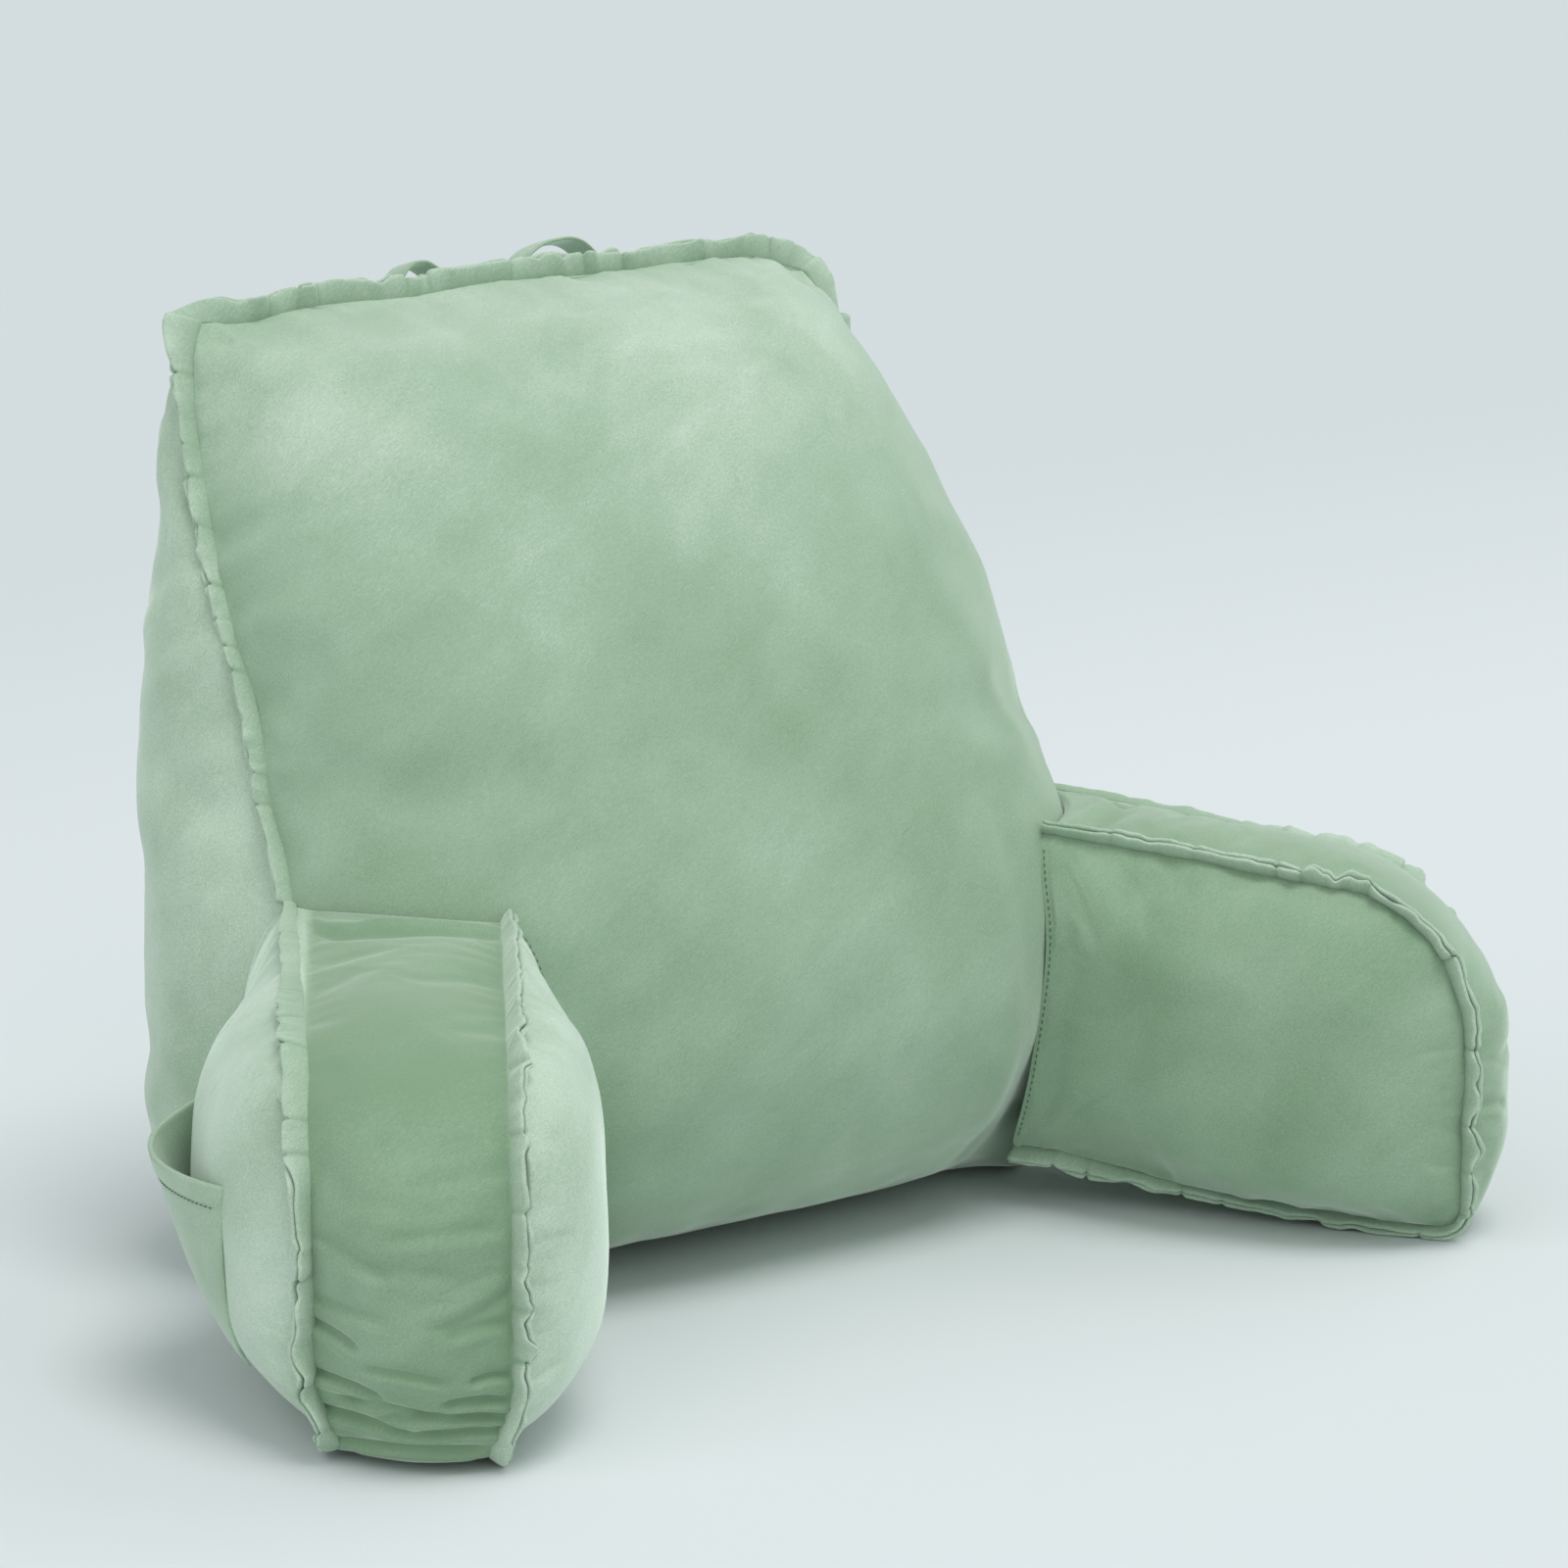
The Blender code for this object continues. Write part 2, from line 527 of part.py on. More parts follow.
def strap_mesh():
    """A slack band over the back's shoulder, sewn down at both ends and humped between them."""
    t = np.linspace(0, 1, STRAP_STEPS)
    x = STRAP_ENDS[0] + (STRAP_ENDS[1] - STRAP_ENDS[0]) * t
    hump = through([row.share for row in STRAP_HUMPS], [row.lift for row in STRAP_HUMPS], t)
    y = STRAP_SEAT[0] + STRAP_RISE[0] * hump
    z = STRAP_SEAT[1] + STRAP_RISE[1] * hump
    centre = np.stack([x, y, z], axis=1)
    along = np.gradient(centre, axis=0)
    along /= np.linalg.norm(along, axis=1)[:, None]
    width = np.tile((0.0, *STRAP_LEAN), (STRAP_STEPS, 1))
    up = np.cross(width, along)
    up /= np.linalg.norm(up, axis=1)[:, None]
    half_w, half_t = STRAP_WIDTH / 2, STRAP_THICKNESS / 2
    corners = ((-half_w, -half_t), (half_w, -half_t), (half_w, half_t), (-half_w, half_t))
    rows = np.stack([centre + w * width + h * up for w, h in corners], axis=1)
    faces = [tuple(f) for f in tube_faces(STRAP_STEPS, 4)]
    last = 4 * (STRAP_STEPS - 1)
    faces += [(3, 2, 1, 0), (last, last + 1, last + 2, last + 3)]
    return rows.reshape(-1, 3), faces


def build():
    """All pieces of the pillow."""
    clear_scene()
    cloth = {piece: velvet(piece) for piece in PIECE_COLOURS}
    backrest = backrest_mesh()
    add_object("backrest", *backrest, cloth["backrest"])
    backrest_cutter = add_cutter("cutter_backrest", *backrest, cloth["backrest"])
    for name, side in (("left", -1), ("right", 1)):
        points, faces = arm_mesh(ARM_STEPS)
        points = mirrored(points, side)
        arm = add_object(f"arm_{name}", points, faces, cloth["arm"])
        cut_back(arm, backrest_cutter)
        arm_cutter = add_cutter(f"cutter_arm_{name}", points, faces, cloth["arm"])
        for place, across in (("inner", 0), ("outer", 1)):
            points_edge, faces_edge = ruffle_mesh(*arm_seam(across), phase=1.7 * across + side)
            points_edge = mirrored(points_edge, side)
            edge = add_object(f"ruffle_{name}_{place}", points_edge, faces_edge, cloth["ruffle"])
            cut_back(edge, arm_cutter)
    edge = add_object("ruffle_back", *ruffle_mesh(*back_seam(), phase=0.4), cloth["ruffle"])
    cut_back(edge, backrest_cutter)
    points, faces = pocket_mesh()
    add_object("pocket", mirrored(points, -1), faces, cloth["pocket"])
    add_object("strap", *strap_mesh(), cloth["strap"])


build()
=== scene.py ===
# %% [markdown]
# # A velvet backrest pillow
#
# The pillow is a filled wedge with two filled arms. Its cover is cut from short-pile velvet, and
# every outer seam is gathered, so that a soft ruffled edge of two layers stands out of it. This
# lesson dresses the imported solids: it makes the crowned cushions, the ruffles, a side pocket, a
# carry strap and the stitches, and then gives them a brushed velvet.

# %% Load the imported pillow
import math
from collections import namedtuple

import bmesh
import bpy
import numpy as np
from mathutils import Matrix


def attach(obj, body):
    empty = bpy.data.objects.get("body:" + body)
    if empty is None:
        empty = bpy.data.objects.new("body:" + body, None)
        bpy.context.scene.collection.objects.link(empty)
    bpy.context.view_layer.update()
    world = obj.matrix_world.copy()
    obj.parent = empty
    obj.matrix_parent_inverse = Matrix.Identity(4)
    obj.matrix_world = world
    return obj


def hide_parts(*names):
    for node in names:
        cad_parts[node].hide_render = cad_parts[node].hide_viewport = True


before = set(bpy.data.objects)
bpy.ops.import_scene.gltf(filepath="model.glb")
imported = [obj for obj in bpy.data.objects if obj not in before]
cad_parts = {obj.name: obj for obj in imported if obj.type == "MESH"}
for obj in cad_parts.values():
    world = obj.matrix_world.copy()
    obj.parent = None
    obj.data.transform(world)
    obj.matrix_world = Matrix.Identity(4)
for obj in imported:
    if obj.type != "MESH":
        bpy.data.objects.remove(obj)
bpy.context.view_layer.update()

BODY = "root"
print("nodes:", ", ".join(sorted(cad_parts)))

# %% [markdown]
# ## The camera
#
# The picture is taken from the front left, a little above the pillow, with a long lens. A camera
# is placed by its eye and two turns, because that keeps its horizon level.

# %% Camera at the photograph's angle
AZIMUTH, ELEVATION = math.radians(37), math.radians(12)
EYE = (-1.8763, -2.6398, 0.9571)
LENS, SENSOR = 123.55, 36.0
camera_data = bpy.data.cameras.new("camera")
camera_data.lens, camera_data.sensor_width = LENS, SENSOR
camera = bpy.data.objects.new("camera", camera_data)
camera.location = EYE
camera.rotation_euler = (math.pi / 2 - ELEVATION, 0, -AZIMUTH)
bpy.context.scene.collection.objects.link(camera)
bpy.context.scene.camera = camera

# %% [markdown]
# ## Helpers for surfaces
#
# Each shape below is a function of two parameters, worked out for a whole grid at once. These
# helpers read a smooth curve through a few measures, join a grid's points with faces, and make
# soft random lumps, as uneven filling does.

# %% Curves, grids and lumps
def ease(t):
    """From 0 to 1 with level ends: 3 t squared less 2 t cubed."""
    t = np.clip(t, 0.0, 1.0)
    return t * t * (3 - 2 * t)


def bell(offset, width=1.0):
    """1 in the middle, falling to both sides: e to the minus (offset / width) squared."""
    return np.exp(-((offset / width) ** 2))


def unit(vectors):
    """The same ways with length 1."""
    return vectors / np.linalg.norm(vectors, axis=-1, keepdims=True)


def path_lengths(path):
    """The length along a path up to each of its points."""
    return np.concatenate([[0], np.cumsum(np.linalg.norm(np.diff(path, axis=0), axis=1))])


def at_lengths(at, length, values):
    """Vectors given at a path's points, read at other lengths along it."""
    return np.stack([np.interp(at, length, values[:, k]) for k in range(3)], axis=-1)


def through(xs, ys, x):
    """A smooth curve through the points: cubic pieces with the neighbours' mean slope."""
    xs, ys, x = np.asarray(xs, float), np.asarray(ys, float), np.asarray(x, float)
    slopes = np.gradient(ys, xs)
    i = np.clip(np.searchsorted(xs, x, side="right") - 1, 0, len(xs) - 2)
    span = xs[i + 1] - xs[i]
    t = (x - xs[i]) / span
    start = (2 * t**3 - 3 * t**2 + 1) * ys[i] + (t**3 - 2 * t**2 + t) * span * slopes[i]
    end = (3 * t**2 - 2 * t**3) * ys[i + 1] + (t**3 - t**2) * span * slopes[i + 1]
    return start + end


def lumps(points, size, seed, waves=16):
    """Soft random heights, about -1 to 1: a sum of sine waves of about one size, all ways."""
    random = np.random.default_rng(seed)
    ways = random.normal(size=(waves, 3))
    ways /= np.linalg.norm(ways, axis=1)[:, None] * size * random.uniform(0.75, 1.5, (waves, 1))
    phases = random.uniform(0, 2 * np.pi, waves)
    return np.sin(2 * np.pi * points @ ways.T + phases).sum(axis=1) / math.sqrt(waves)


def tube_faces(rows, around, first=0):
    """Quads between rows of points that each run round in a closed loop."""
    j, i = np.meshgrid(np.arange(rows - 1), np.arange(around), indexing="ij")
    k = (i + 1) % around
    corners = (j * around + i, j * around + k, (j + 1) * around + k, (j + 1) * around + i)
    return first + np.stack(corners, axis=-1).reshape(-1, 4)


def closed_tube(rows, around, first=0):
    """The quads of a tube, and one face over each of its ends."""
    last = first + around * (rows - 1)
    ends = [range(first, first + around), range(last, last + around)]
    return [*tube_faces(rows, around, first), *ends]


def add_piece(name, points, faces):
    """A mesh piece at the origin, its faces turned outwards and shaded smooth."""
    mesh = bpy.data.meshes.new(name)
    mesh.from_pydata(np.asarray(points).tolist(), [], [tuple(map(int, f)) for f in faces])
    work = bmesh.new()
    work.from_mesh(mesh)
    bmesh.ops.remove_doubles(work, verts=work.verts, dist=1e-6)
    bmesh.ops.recalc_face_normals(work, faces=work.faces)
    work.to_mesh(mesh)
    work.free()
    mesh.shade_smooth()
    obj = bpy.data.objects.new(name, mesh)
    bpy.context.scene.collection.objects.link(obj)
    return obj


def read_points(obj, what="co"):
    """All vertices of a mesh as one array, or with "normal" their normals."""
    values = np.empty(3 * len(obj.data.vertices), np.float32)
    obj.data.vertices.foreach_get(what, values)
    return values.reshape(-1, 3).astype(float)


def write_points(obj, points):
    """Put an array back as the mesh's vertices."""
    obj.data.vertices.foreach_set("co", np.asarray(points, np.float32).ravel())
    obj.data.update()


# %% [markdown]
# ## The shape of the backrest
#
# The backrest is a wedge: nearly upright behind, leaning in front. Its outline at a few levels
# says it all, and the rest is read smoothly between them. The front panel is much wider than the
# frame that it is sewn to, so it stands forward in a full crown that falls steeply to its seams.

# %% Backrest measures, one row for each level
Level = namedtuple("Level", "height half_width seam_y back_half back_y front_crown side_crown")
LEVELS = (
    Level(0.000, 0.268, -0.045, 0.225, 0.132, 0.097, 0.024),
    Level(0.030, 0.279, -0.051, 0.234, 0.146, 0.115, 0.043),
    Level(0.080, 0.285, -0.055, 0.238, 0.150, 0.137, 0.056),
    Level(0.150, 0.286, -0.056, 0.238, 0.150, 0.143, 0.061),
    Level(0.235, 0.278, -0.047, 0.236, 0.152, 0.133, 0.062),
    Level(0.300, 0.271, -0.011, 0.235, 0.154, 0.141, 0.057),
    Level(0.343, 0.269, 0.006, 0.235, 0.155, 0.136, 0.050),
    Level(0.398, 0.266, 0.038, 0.233, 0.155, 0.134, 0.040),
    Level(0.430, 0.262, 0.060, 0.231, 0.155, 0.136, 0.034),
    Level(0.473, 0.253, 0.088, 0.230, 0.154, 0.131, 0.026),
    Level(0.515, 0.244, 0.112, 0.229, 0.150, 0.110, 0.015),
    Level(0.545, 0.235, 0.125, 0.229, 0.140, 0.060, 0.005),
    Level(0.558, 0.2285, 0.130, 0.2285, 0.134, 0.004, 0.000),
)
TOP = LEVELS[-1]
FRONT_POWER, FRONT_FULLNESS = 3.2, 0.60
DRAWN_IN, DRAWN_FROM, DRAWN_HEIGHT, DRAWN_FADE = 0.20, 0.45, 0.20, 0.11
SIDE_LEAN = 1.2
BACK_CROWN, BACK_CROWN_FADE, BACK_CROWN_LEAST = 0.016, 0.125, 0.02
FRONT_LIFT = 0.030
LIFT_START_Y, LIFT_END_Y = -0.045, -0.135
LIFT_HALF_WIDTH, LIFT_FULL_SHARE, LIFT_FADE_HEIGHT = 0.26, 0.7, 0.16


def level_at(height):
    """The backrest's measures at any heights, read smoothly from LEVELS."""
    heights = [row.height for row in LEVELS]
    columns = [
        through(heights, [row[k] for row in LEVELS], height) for k in range(1, len(Level._fields))
    ]
    return Level(height, *columns)


def front_y(row, share):
    """The front panel's depth: the seam's, less a crown of (1 - share^3.2)^0.6 across the width.

    The arms draw the crown in where they are sewn to it, low down and near both sides.
    """
    share = np.clip(np.abs(share), 0, 1)
    drawn = DRAWN_IN * ease((share - DRAWN_FROM) / (0.8 - DRAWN_FROM))
    crown = row.front_crown * (1 - drawn * ease((DRAWN_HEIGHT - row.height) / DRAWN_FADE))
    return row.seam_y - crown * (1 - share**FRONT_POWER) ** FRONT_FULLNESS


def front_lift(x, y, height):
    """How far the underside's front stands off the floor between the arms."""
    forward = ease((LIFT_START_Y - y) / (LIFT_START_Y - LIFT_END_Y))
    outward = (np.abs(x) / LIFT_HALF_WIDTH - LIFT_FULL_SHARE) / (1 - LIFT_FULL_SHARE)
    return FRONT_LIFT * forward * (1 - ease(outward)) * (1 - ease(height / LIFT_FADE_HEIGHT))


def side_panel_x(row, s):
    """The side panel's half-width at a share s of its depth: straight, plus its crown."""
    straight = row.half_width + (row.back_half - row.half_width) * s
    return straight + row.side_crown * np.sin(np.pi * s**SIDE_LEAN)


def backrest_rings(heights, front_steps, side_steps):
    """Outlines for all heights at once: front from -X to +X, +X side, back, -X side."""
    row = level_at(heights[:, None])
    across = -np.cos(np.pi * np.linspace(0, 1, front_steps, endpoint=False))[None]
    s = np.linspace(0, 1, side_steps, endpoint=False)[None]
    share = np.clip((TOP.height - row.height) / BACK_CROWN_FADE + BACK_CROWN_LEAST, 0, 1)
    side_x = side_panel_x(row, s)
    side_y = row.seam_y + (row.back_y - row.seam_y) * s
    back_y = row.back_y + BACK_CROWN * share * np.sqrt(1 - across**2)
    corner_x, corner_y = -row.back_half, row.back_y
    x = [row.half_width * across, side_x, -row.back_half * across, corner_x, -side_x[:, :0:-1]]
    y = [front_y(row, across), side_y, back_y, corner_y, side_y[:, :0:-1]]
    x, y = np.concatenate(x, axis=1), np.concatenate(y, axis=1)
    z = row.height + front_lift(x, y, row.height)
    return np.stack([x, y, z], axis=-1)


# %% [markdown]
# A ring of four sides is closed by a patch that is blended from its edges, which is called a
# Coons patch. It gives the foot and the top the same even grid as the walls, which a cloth
# simulation likes better than one big face.

# %% Close a ring with a blended patch
def cap(points, ring, columns, rows):
    """Close a ring of four sides with a grid: the two edge blends less the corner blend."""
    index = np.empty((rows + 1, columns + 1), int)
    index[0, :] = ring[: columns + 1]
    index[:, columns] = ring[columns : columns + rows + 1]
    index[rows, ::-1] = ring[columns + rows : 2 * columns + rows + 1]
    index[::-1, 0] = np.append(ring[2 * columns + rows :], ring[0])
    new = len(points) + np.arange((rows - 1) * (columns - 1))
    index[1:rows, 1:columns] = new.reshape(rows - 1, -1)
    v = (np.arange(1, rows) / rows)[:, None, None]
    u = (np.arange(1, columns) / columns)[None, :, None]
    top, bottom = points[index[0, 1:-1]][None], points[index[rows, 1:-1]][None]
    left, right = points[index[1:-1, 0]][:, None], points[index[1:-1, columns]][:, None]
    c = points[index[[0, 0, rows, rows], [0, columns, 0, columns]]]
    edges = (1 - v) * top + v * bottom + (1 - u) * left + u * right
    corners = (1 - v) * ((1 - u) * c[0] + u * c[1]) + v * ((1 - u) * c[2] + u * c[3])
    faces = np.stack([index[:-1, :-1], index[:-1, 1:], index[1:, 1:], index[1:, :-1]], axis=-1)
    return np.concatenate([points, (edges - corners).reshape(-1, 3)]), faces.reshape(-1, 4)


BACKREST_STEPS = (64, 20, 60)  # across the front, along a side, up
Arch = namedtuple("Arch", "share lift")
TOP_ARCH = (
    Arch(0.00, 0.000),
    Arch(0.08, -0.002),
    Arch(0.17, 0.004),
    Arch(0.32, 0.004),
    Arch(0.44, 0.008),
    Arch(0.56, 0.010),
    Arch(0.69, 0.009),
    Arch(0.84, 0.012),
    Arch(0.92, 0.011),
    Arch(1.00, 0.000),
)
ARCH_FADE = 0.10


def top_arch(points):
    """The top seam's soft arch, as heights to add: the filling lifts it between its corners."""
    share = (points[:, 0] / TOP.half_width + 1) / 2
    lift = through(*zip(*TOP_ARCH), share.clip(0, 1))
    return lift * ease((points[:, 2] - TOP.height + ARCH_FADE) / ARCH_FADE)


def backrest_shape():
    """Rings from the floor to the top seam, closer together at both ends, with a cap on each."""
    front_steps, side_steps, rows = BACKREST_STEPS
    share = np.linspace(0, 1, rows)
    heights = TOP.height * (share - 0.06 * np.sin(2 * np.pi * share))
    points = backrest_rings(heights, front_steps, side_steps)
    around = points.shape[1]
    points = points.reshape(-1, 3)
    first = len(points)
    points, foot = cap(points, np.arange(around), front_steps, side_steps)
    points[first:, 2] = front_lift(points[first:, 0], points[first:, 1], 0.0)
    points, top = cap(points, np.arange(around) + (rows - 1) * around, front_steps, side_steps)
    points[:, 2] += top_arch(points)
    return points, np.concatenate([tube_faces(rows, around), foot, top])


# %% [markdown]
# ## The shape of an arm
#
# An arm is a strip that runs over the top, down the front and back underneath, between two
# panels. The panels stand out in full crowns. The arm ends on the backrest's front, so each line
# of it is shortened until it meets that surface: a search by halves finds the place.

# %% Arm measures
INNER_START, INNER_END = np.array((0.205, -0.156)), np.array((0.3475, -0.3735))
OUTER_START, OUTER_END = np.array((0.290, -0.066)), np.array((0.423, -0.292))
ARM_REACH, ARM_ROOT = 0.26, -0.075
ARM_HEIGHT, ARM_DROP = 0.238, 0.020
SHOULDER_RADII = (0.085, 0.095)
TOE_RADIUS = 0.011
SEAM_FLOOR, ROOT_LIFT, ROOT_LIFT_REACH = 0.007, 0.028, 0.21
TUCK_HEIGHT, STRIP_TUCK = 0.05, 0.014
PANEL_CENTRE = (0.105, 0.120)
PANEL_ROOT_SHARE = 0.5
Panel = namedtuple("Panel", "crown power fullness")
PANELS = (Panel(0.056, 3.0, 0.62), Panel(0.064, 2.4, 0.68))  # inner, outer
STRIP_CROWN_ROOT, STRIP_CROWN_TOP, STRIP_CROWN_FRONT = 0.006, 0.011, 0.028
STRIP_FULLNESS, CROWN_REACH = 0.8, 0.16
CROWN_AT_FLOOR, CROWN_FLOOR_FADE = 0.35, 0.07
ROOT_BLEND = 0.10
CLEARANCE = 0.0004
ARM_AXIS = np.append((INNER_END - INNER_START) / np.linalg.norm(INNER_END - INNER_START), 0.0)
PANEL_NORMAL = np.array((-ARM_AXIS[1], ARM_AXIS[0], 0.0))


def arm_top(along):
    """Height of an arm's top seam: a slight slope, then the shoulder's quarter ellipse."""
    reach, up = SHOULDER_RADII
    slope = ARM_HEIGHT - ARM_DROP * np.minimum(along / (ARM_REACH - reach), 1)
    turn = np.clip((along - ARM_REACH + reach) / reach, 0, 1)
    return slope - up + up * np.sqrt(1 - turn**2)


def arm_bottom(along):
    """Height of an arm's bottom seam: it rises to the backrest and turns up at the toe."""
    turn = np.clip((along - ARM_REACH + TOE_RADIUS) / TOE_RADIUS, 0, 1)
    toe = TOE_RADIUS * (1 - np.sqrt(1 - turn**2))
    return SEAM_FLOOR + ROOT_LIFT * np.clip(1 - along / ROOT_LIFT_REACH, 0, 1) ** 1.3 + toe


def arm_point(along, height, across):
    """A point between the arm's seams: across is 0 at the inner seam and 1 at the outer seam."""
    along, height = np.asarray(along, float), np.asarray(height, float)
    share = along[..., None] / ARM_REACH
    inner = INNER_START + (INNER_END - INNER_START) * share
    outer = OUTER_START + (OUTER_END - OUTER_START) * share
    drawn_in = STRIP_TUCK * (1 - ease(height / TUCK_HEIGHT))
    tuck = drawn_in / np.linalg.norm(OUTER_END - INNER_END)
    across = (tuck + (1 - 2 * tuck) * across)[..., None]
    return np.concatenate([inner + (outer - inner) * across, height[..., None]], axis=-1)


def panel_bulge(along, height, end):
    """How far the inner (0) or outer (1) panel stands out: most in its middle, 0 on its seams."""
    crown, power, fullness = PANELS[end]
    top, bottom = arm_top(along), arm_bottom(along)
    upright = np.clip(np.abs(2 * height - top - bottom) / np.maximum(top - bottom, 1e-6), 0, 1)
    forward = np.clip((along - PANEL_CENTRE[0]) / (ARM_REACH - PANEL_CENTRE[0]), 0, 1)
    root = 1 - (1 - PANEL_ROOT_SHARE) * ease(1 - along / PANEL_CENTRE[0])
    return crown * ((1 - upright**power) * (1 - forward**power)) ** fullness * root


def strip_bulge(along, height, across):
    """The two panels' bulges, blended across the strip: outwards at 1, inwards at 0."""
    return across * panel_bulge(along, height, 1) - (1 - across) * panel_bulge(along, height, 0)


def panel_point(along, height, end):
    """A point of the crowned inner (0) or outer (1) panel over (along, up)."""
    side = (-1.0, 1.0)[end]
    flat = arm_point(along, height, np.full(np.shape(along), float(end)))
    return flat + side * panel_bulge(along, height, end)[..., None] * PANEL_NORMAL


def panel_middle(end):
    """The inner (0) or outer (1) panel's middle, round which its rings shrink."""
    return panel_point(*np.array(PANEL_CENTRE)[:, None], end)[0]


def inside_backrest(points):
    """True where a point on the +X side is in the backrest: behind its front, inside its side."""
    x, y, z = np.moveaxis(points, -1, 0)
    row = level_at(np.clip(z, 0, TOP.height))
    s = np.clip((y - row.seam_y) / (row.back_y - row.seam_y), 0, 1)
    behind = y > front_y(row, x / row.half_width) - CLEARANCE
    beside = (y > row.seam_y) & (x < side_panel_x(row, s) + CLEARANCE)
    return np.where(x <= row.half_width, behind, beside)


# %% Arm outline and surface
FINE_HEIGHT = 0.135


def arm_outline(count):
    """The seam line as (along, up), round from the top of the root."""
    rounding = np.sin(np.linspace(0, np.pi / 2, 600))
    out = ARM_ROOT + (ARM_REACH - ARM_ROOT) * rounding
    along = np.concatenate([out, out[::-1], [ARM_ROOT]])
    height = np.concatenate([arm_top(out), arm_bottom(out[::-1]), [arm_top(ARM_ROOT)]])
    # The foot's front gets three times as many points, so that its creases can be sharp
    foot = (along > ARM_REACH - 0.02) & (height < FINE_HEIGHT)
    weight = np.where(foot, 3.0, 1.0)
    steps = np.hypot(np.diff(along), np.diff(height)) * (weight[1:] + weight[:-1]) / 2
    length = np.concatenate([[0], np.cumsum(steps)])
    at = np.linspace(0, length[-1], count, endpoint=False)
    return np.interp(at, length, along), np.interp(at, length, height)


def outward(along, height):
    """Unit vectors that point out of a closed outline that runs clockwise in (along, up)."""
    da = np.roll(along, -1, axis=0) - np.roll(along, 1, axis=0)
    dz = np.roll(height, -1, axis=0) - np.roll(height, 1, axis=0)
    size = np.hypot(da, dz)
    return -dz / size, da / size


def radial(out_along, out_up):
    """A way in the arm's upright plane as a vector in space."""
    return out_along[:, None] * ARM_AXIS + out_up[:, None] * np.array((0, 0, 1.0))


def strip_points(along, height, across):
    """The strip: crowned outwards in its middle, and as wide as the panels at the root."""
    out_along, out_up = outward(*arm_outline(along.shape[0]))
    crown = STRIP_CROWN_ROOT + (STRIP_CROWN_TOP - STRIP_CROWN_ROOT) * ease(along / CROWN_REACH)
    crown = crown + (STRIP_CROWN_FRONT - crown) * ease(2 * out_along - 1)[:, None]
    crown = crown * (CROWN_AT_FLOOR + (1 - CROWN_AT_FLOOR) * ease(height / CROWN_FLOOR_FADE))
    rise = crown * np.sin(np.pi * across) ** STRIP_FULLNESS
    rise = np.where((out_along[:, None] < -0.5), 0.0, rise)  # none on the root's own face
    points = arm_point(along, height, across) + rise[..., None] * radial(out_along, out_up)[:, None]
    return points + strip_bulge(along, height, across)[..., None] * PANEL_NORMAL


def root_start(height, across):
    """Where the line at one height and place across leaves the backrest, found by halving."""
    low, high = np.full(height.shape, ARM_ROOT), np.full(height.shape, ROOT_BLEND)
    for _ in range(16):
        middle = (low + high) / 2
        wide = strip_bulge(middle, height, across)
        inside = inside_backrest(arm_point(middle, height, across) + wide[..., None] * PANEL_NORMAL)
        low, high = np.where(inside, middle, low), np.where(inside, high, middle)
    return high


ARM_STEPS, STRIP_STEPS, PANEL_STEPS = 220, 20, 18
SHOULDER_ROUNDS = 60  # each averages a point of the strip's middle with its two neighbours


def arm_outline_on_backrest(count, across):
    """(along, up) for each place round and each place across, its root drawn to the backrest."""
    along, height = arm_outline(count)
    along, height = (np.repeat(values[:, None], len(across), 1) for values in (along, height))
    across = np.broadcast_to(across[None], along.shape)
    on_root = along <= ARM_ROOT + 1e-4
    upper = height > arm_top(along) - 1e-3
    root_top = np.full_like(height, arm_top(0.0))
    root_bottom = np.full_like(height, arm_bottom(0.02))
    for _ in range(3):  # each corner's height and place depend on each other
        root_top = arm_top(root_start(root_top, across))
        root_bottom = arm_bottom(root_start(root_bottom, across))
    low, high = arm_bottom(ARM_ROOT), arm_top(ARM_ROOT)
    on_line = root_bottom + (root_top - root_bottom) * ((height - low) / (high - low)).clip(0, 1)
    corner = np.where(upper, root_top, root_bottom)
    start = root_start(np.where(on_root, on_line, corner), across)
    pulled = ROOT_BLEND - (ROOT_BLEND - along) * (ROOT_BLEND - start) / (ROOT_BLEND - ARM_ROOT)
    near = along < ROOT_BLEND
    along = np.where(near, pulled, along)
    on_seam = np.where(upper, arm_top(along), arm_bottom(along))
    height = np.where(on_root, on_line, np.where(near, on_seam, height))
    return along, height, across


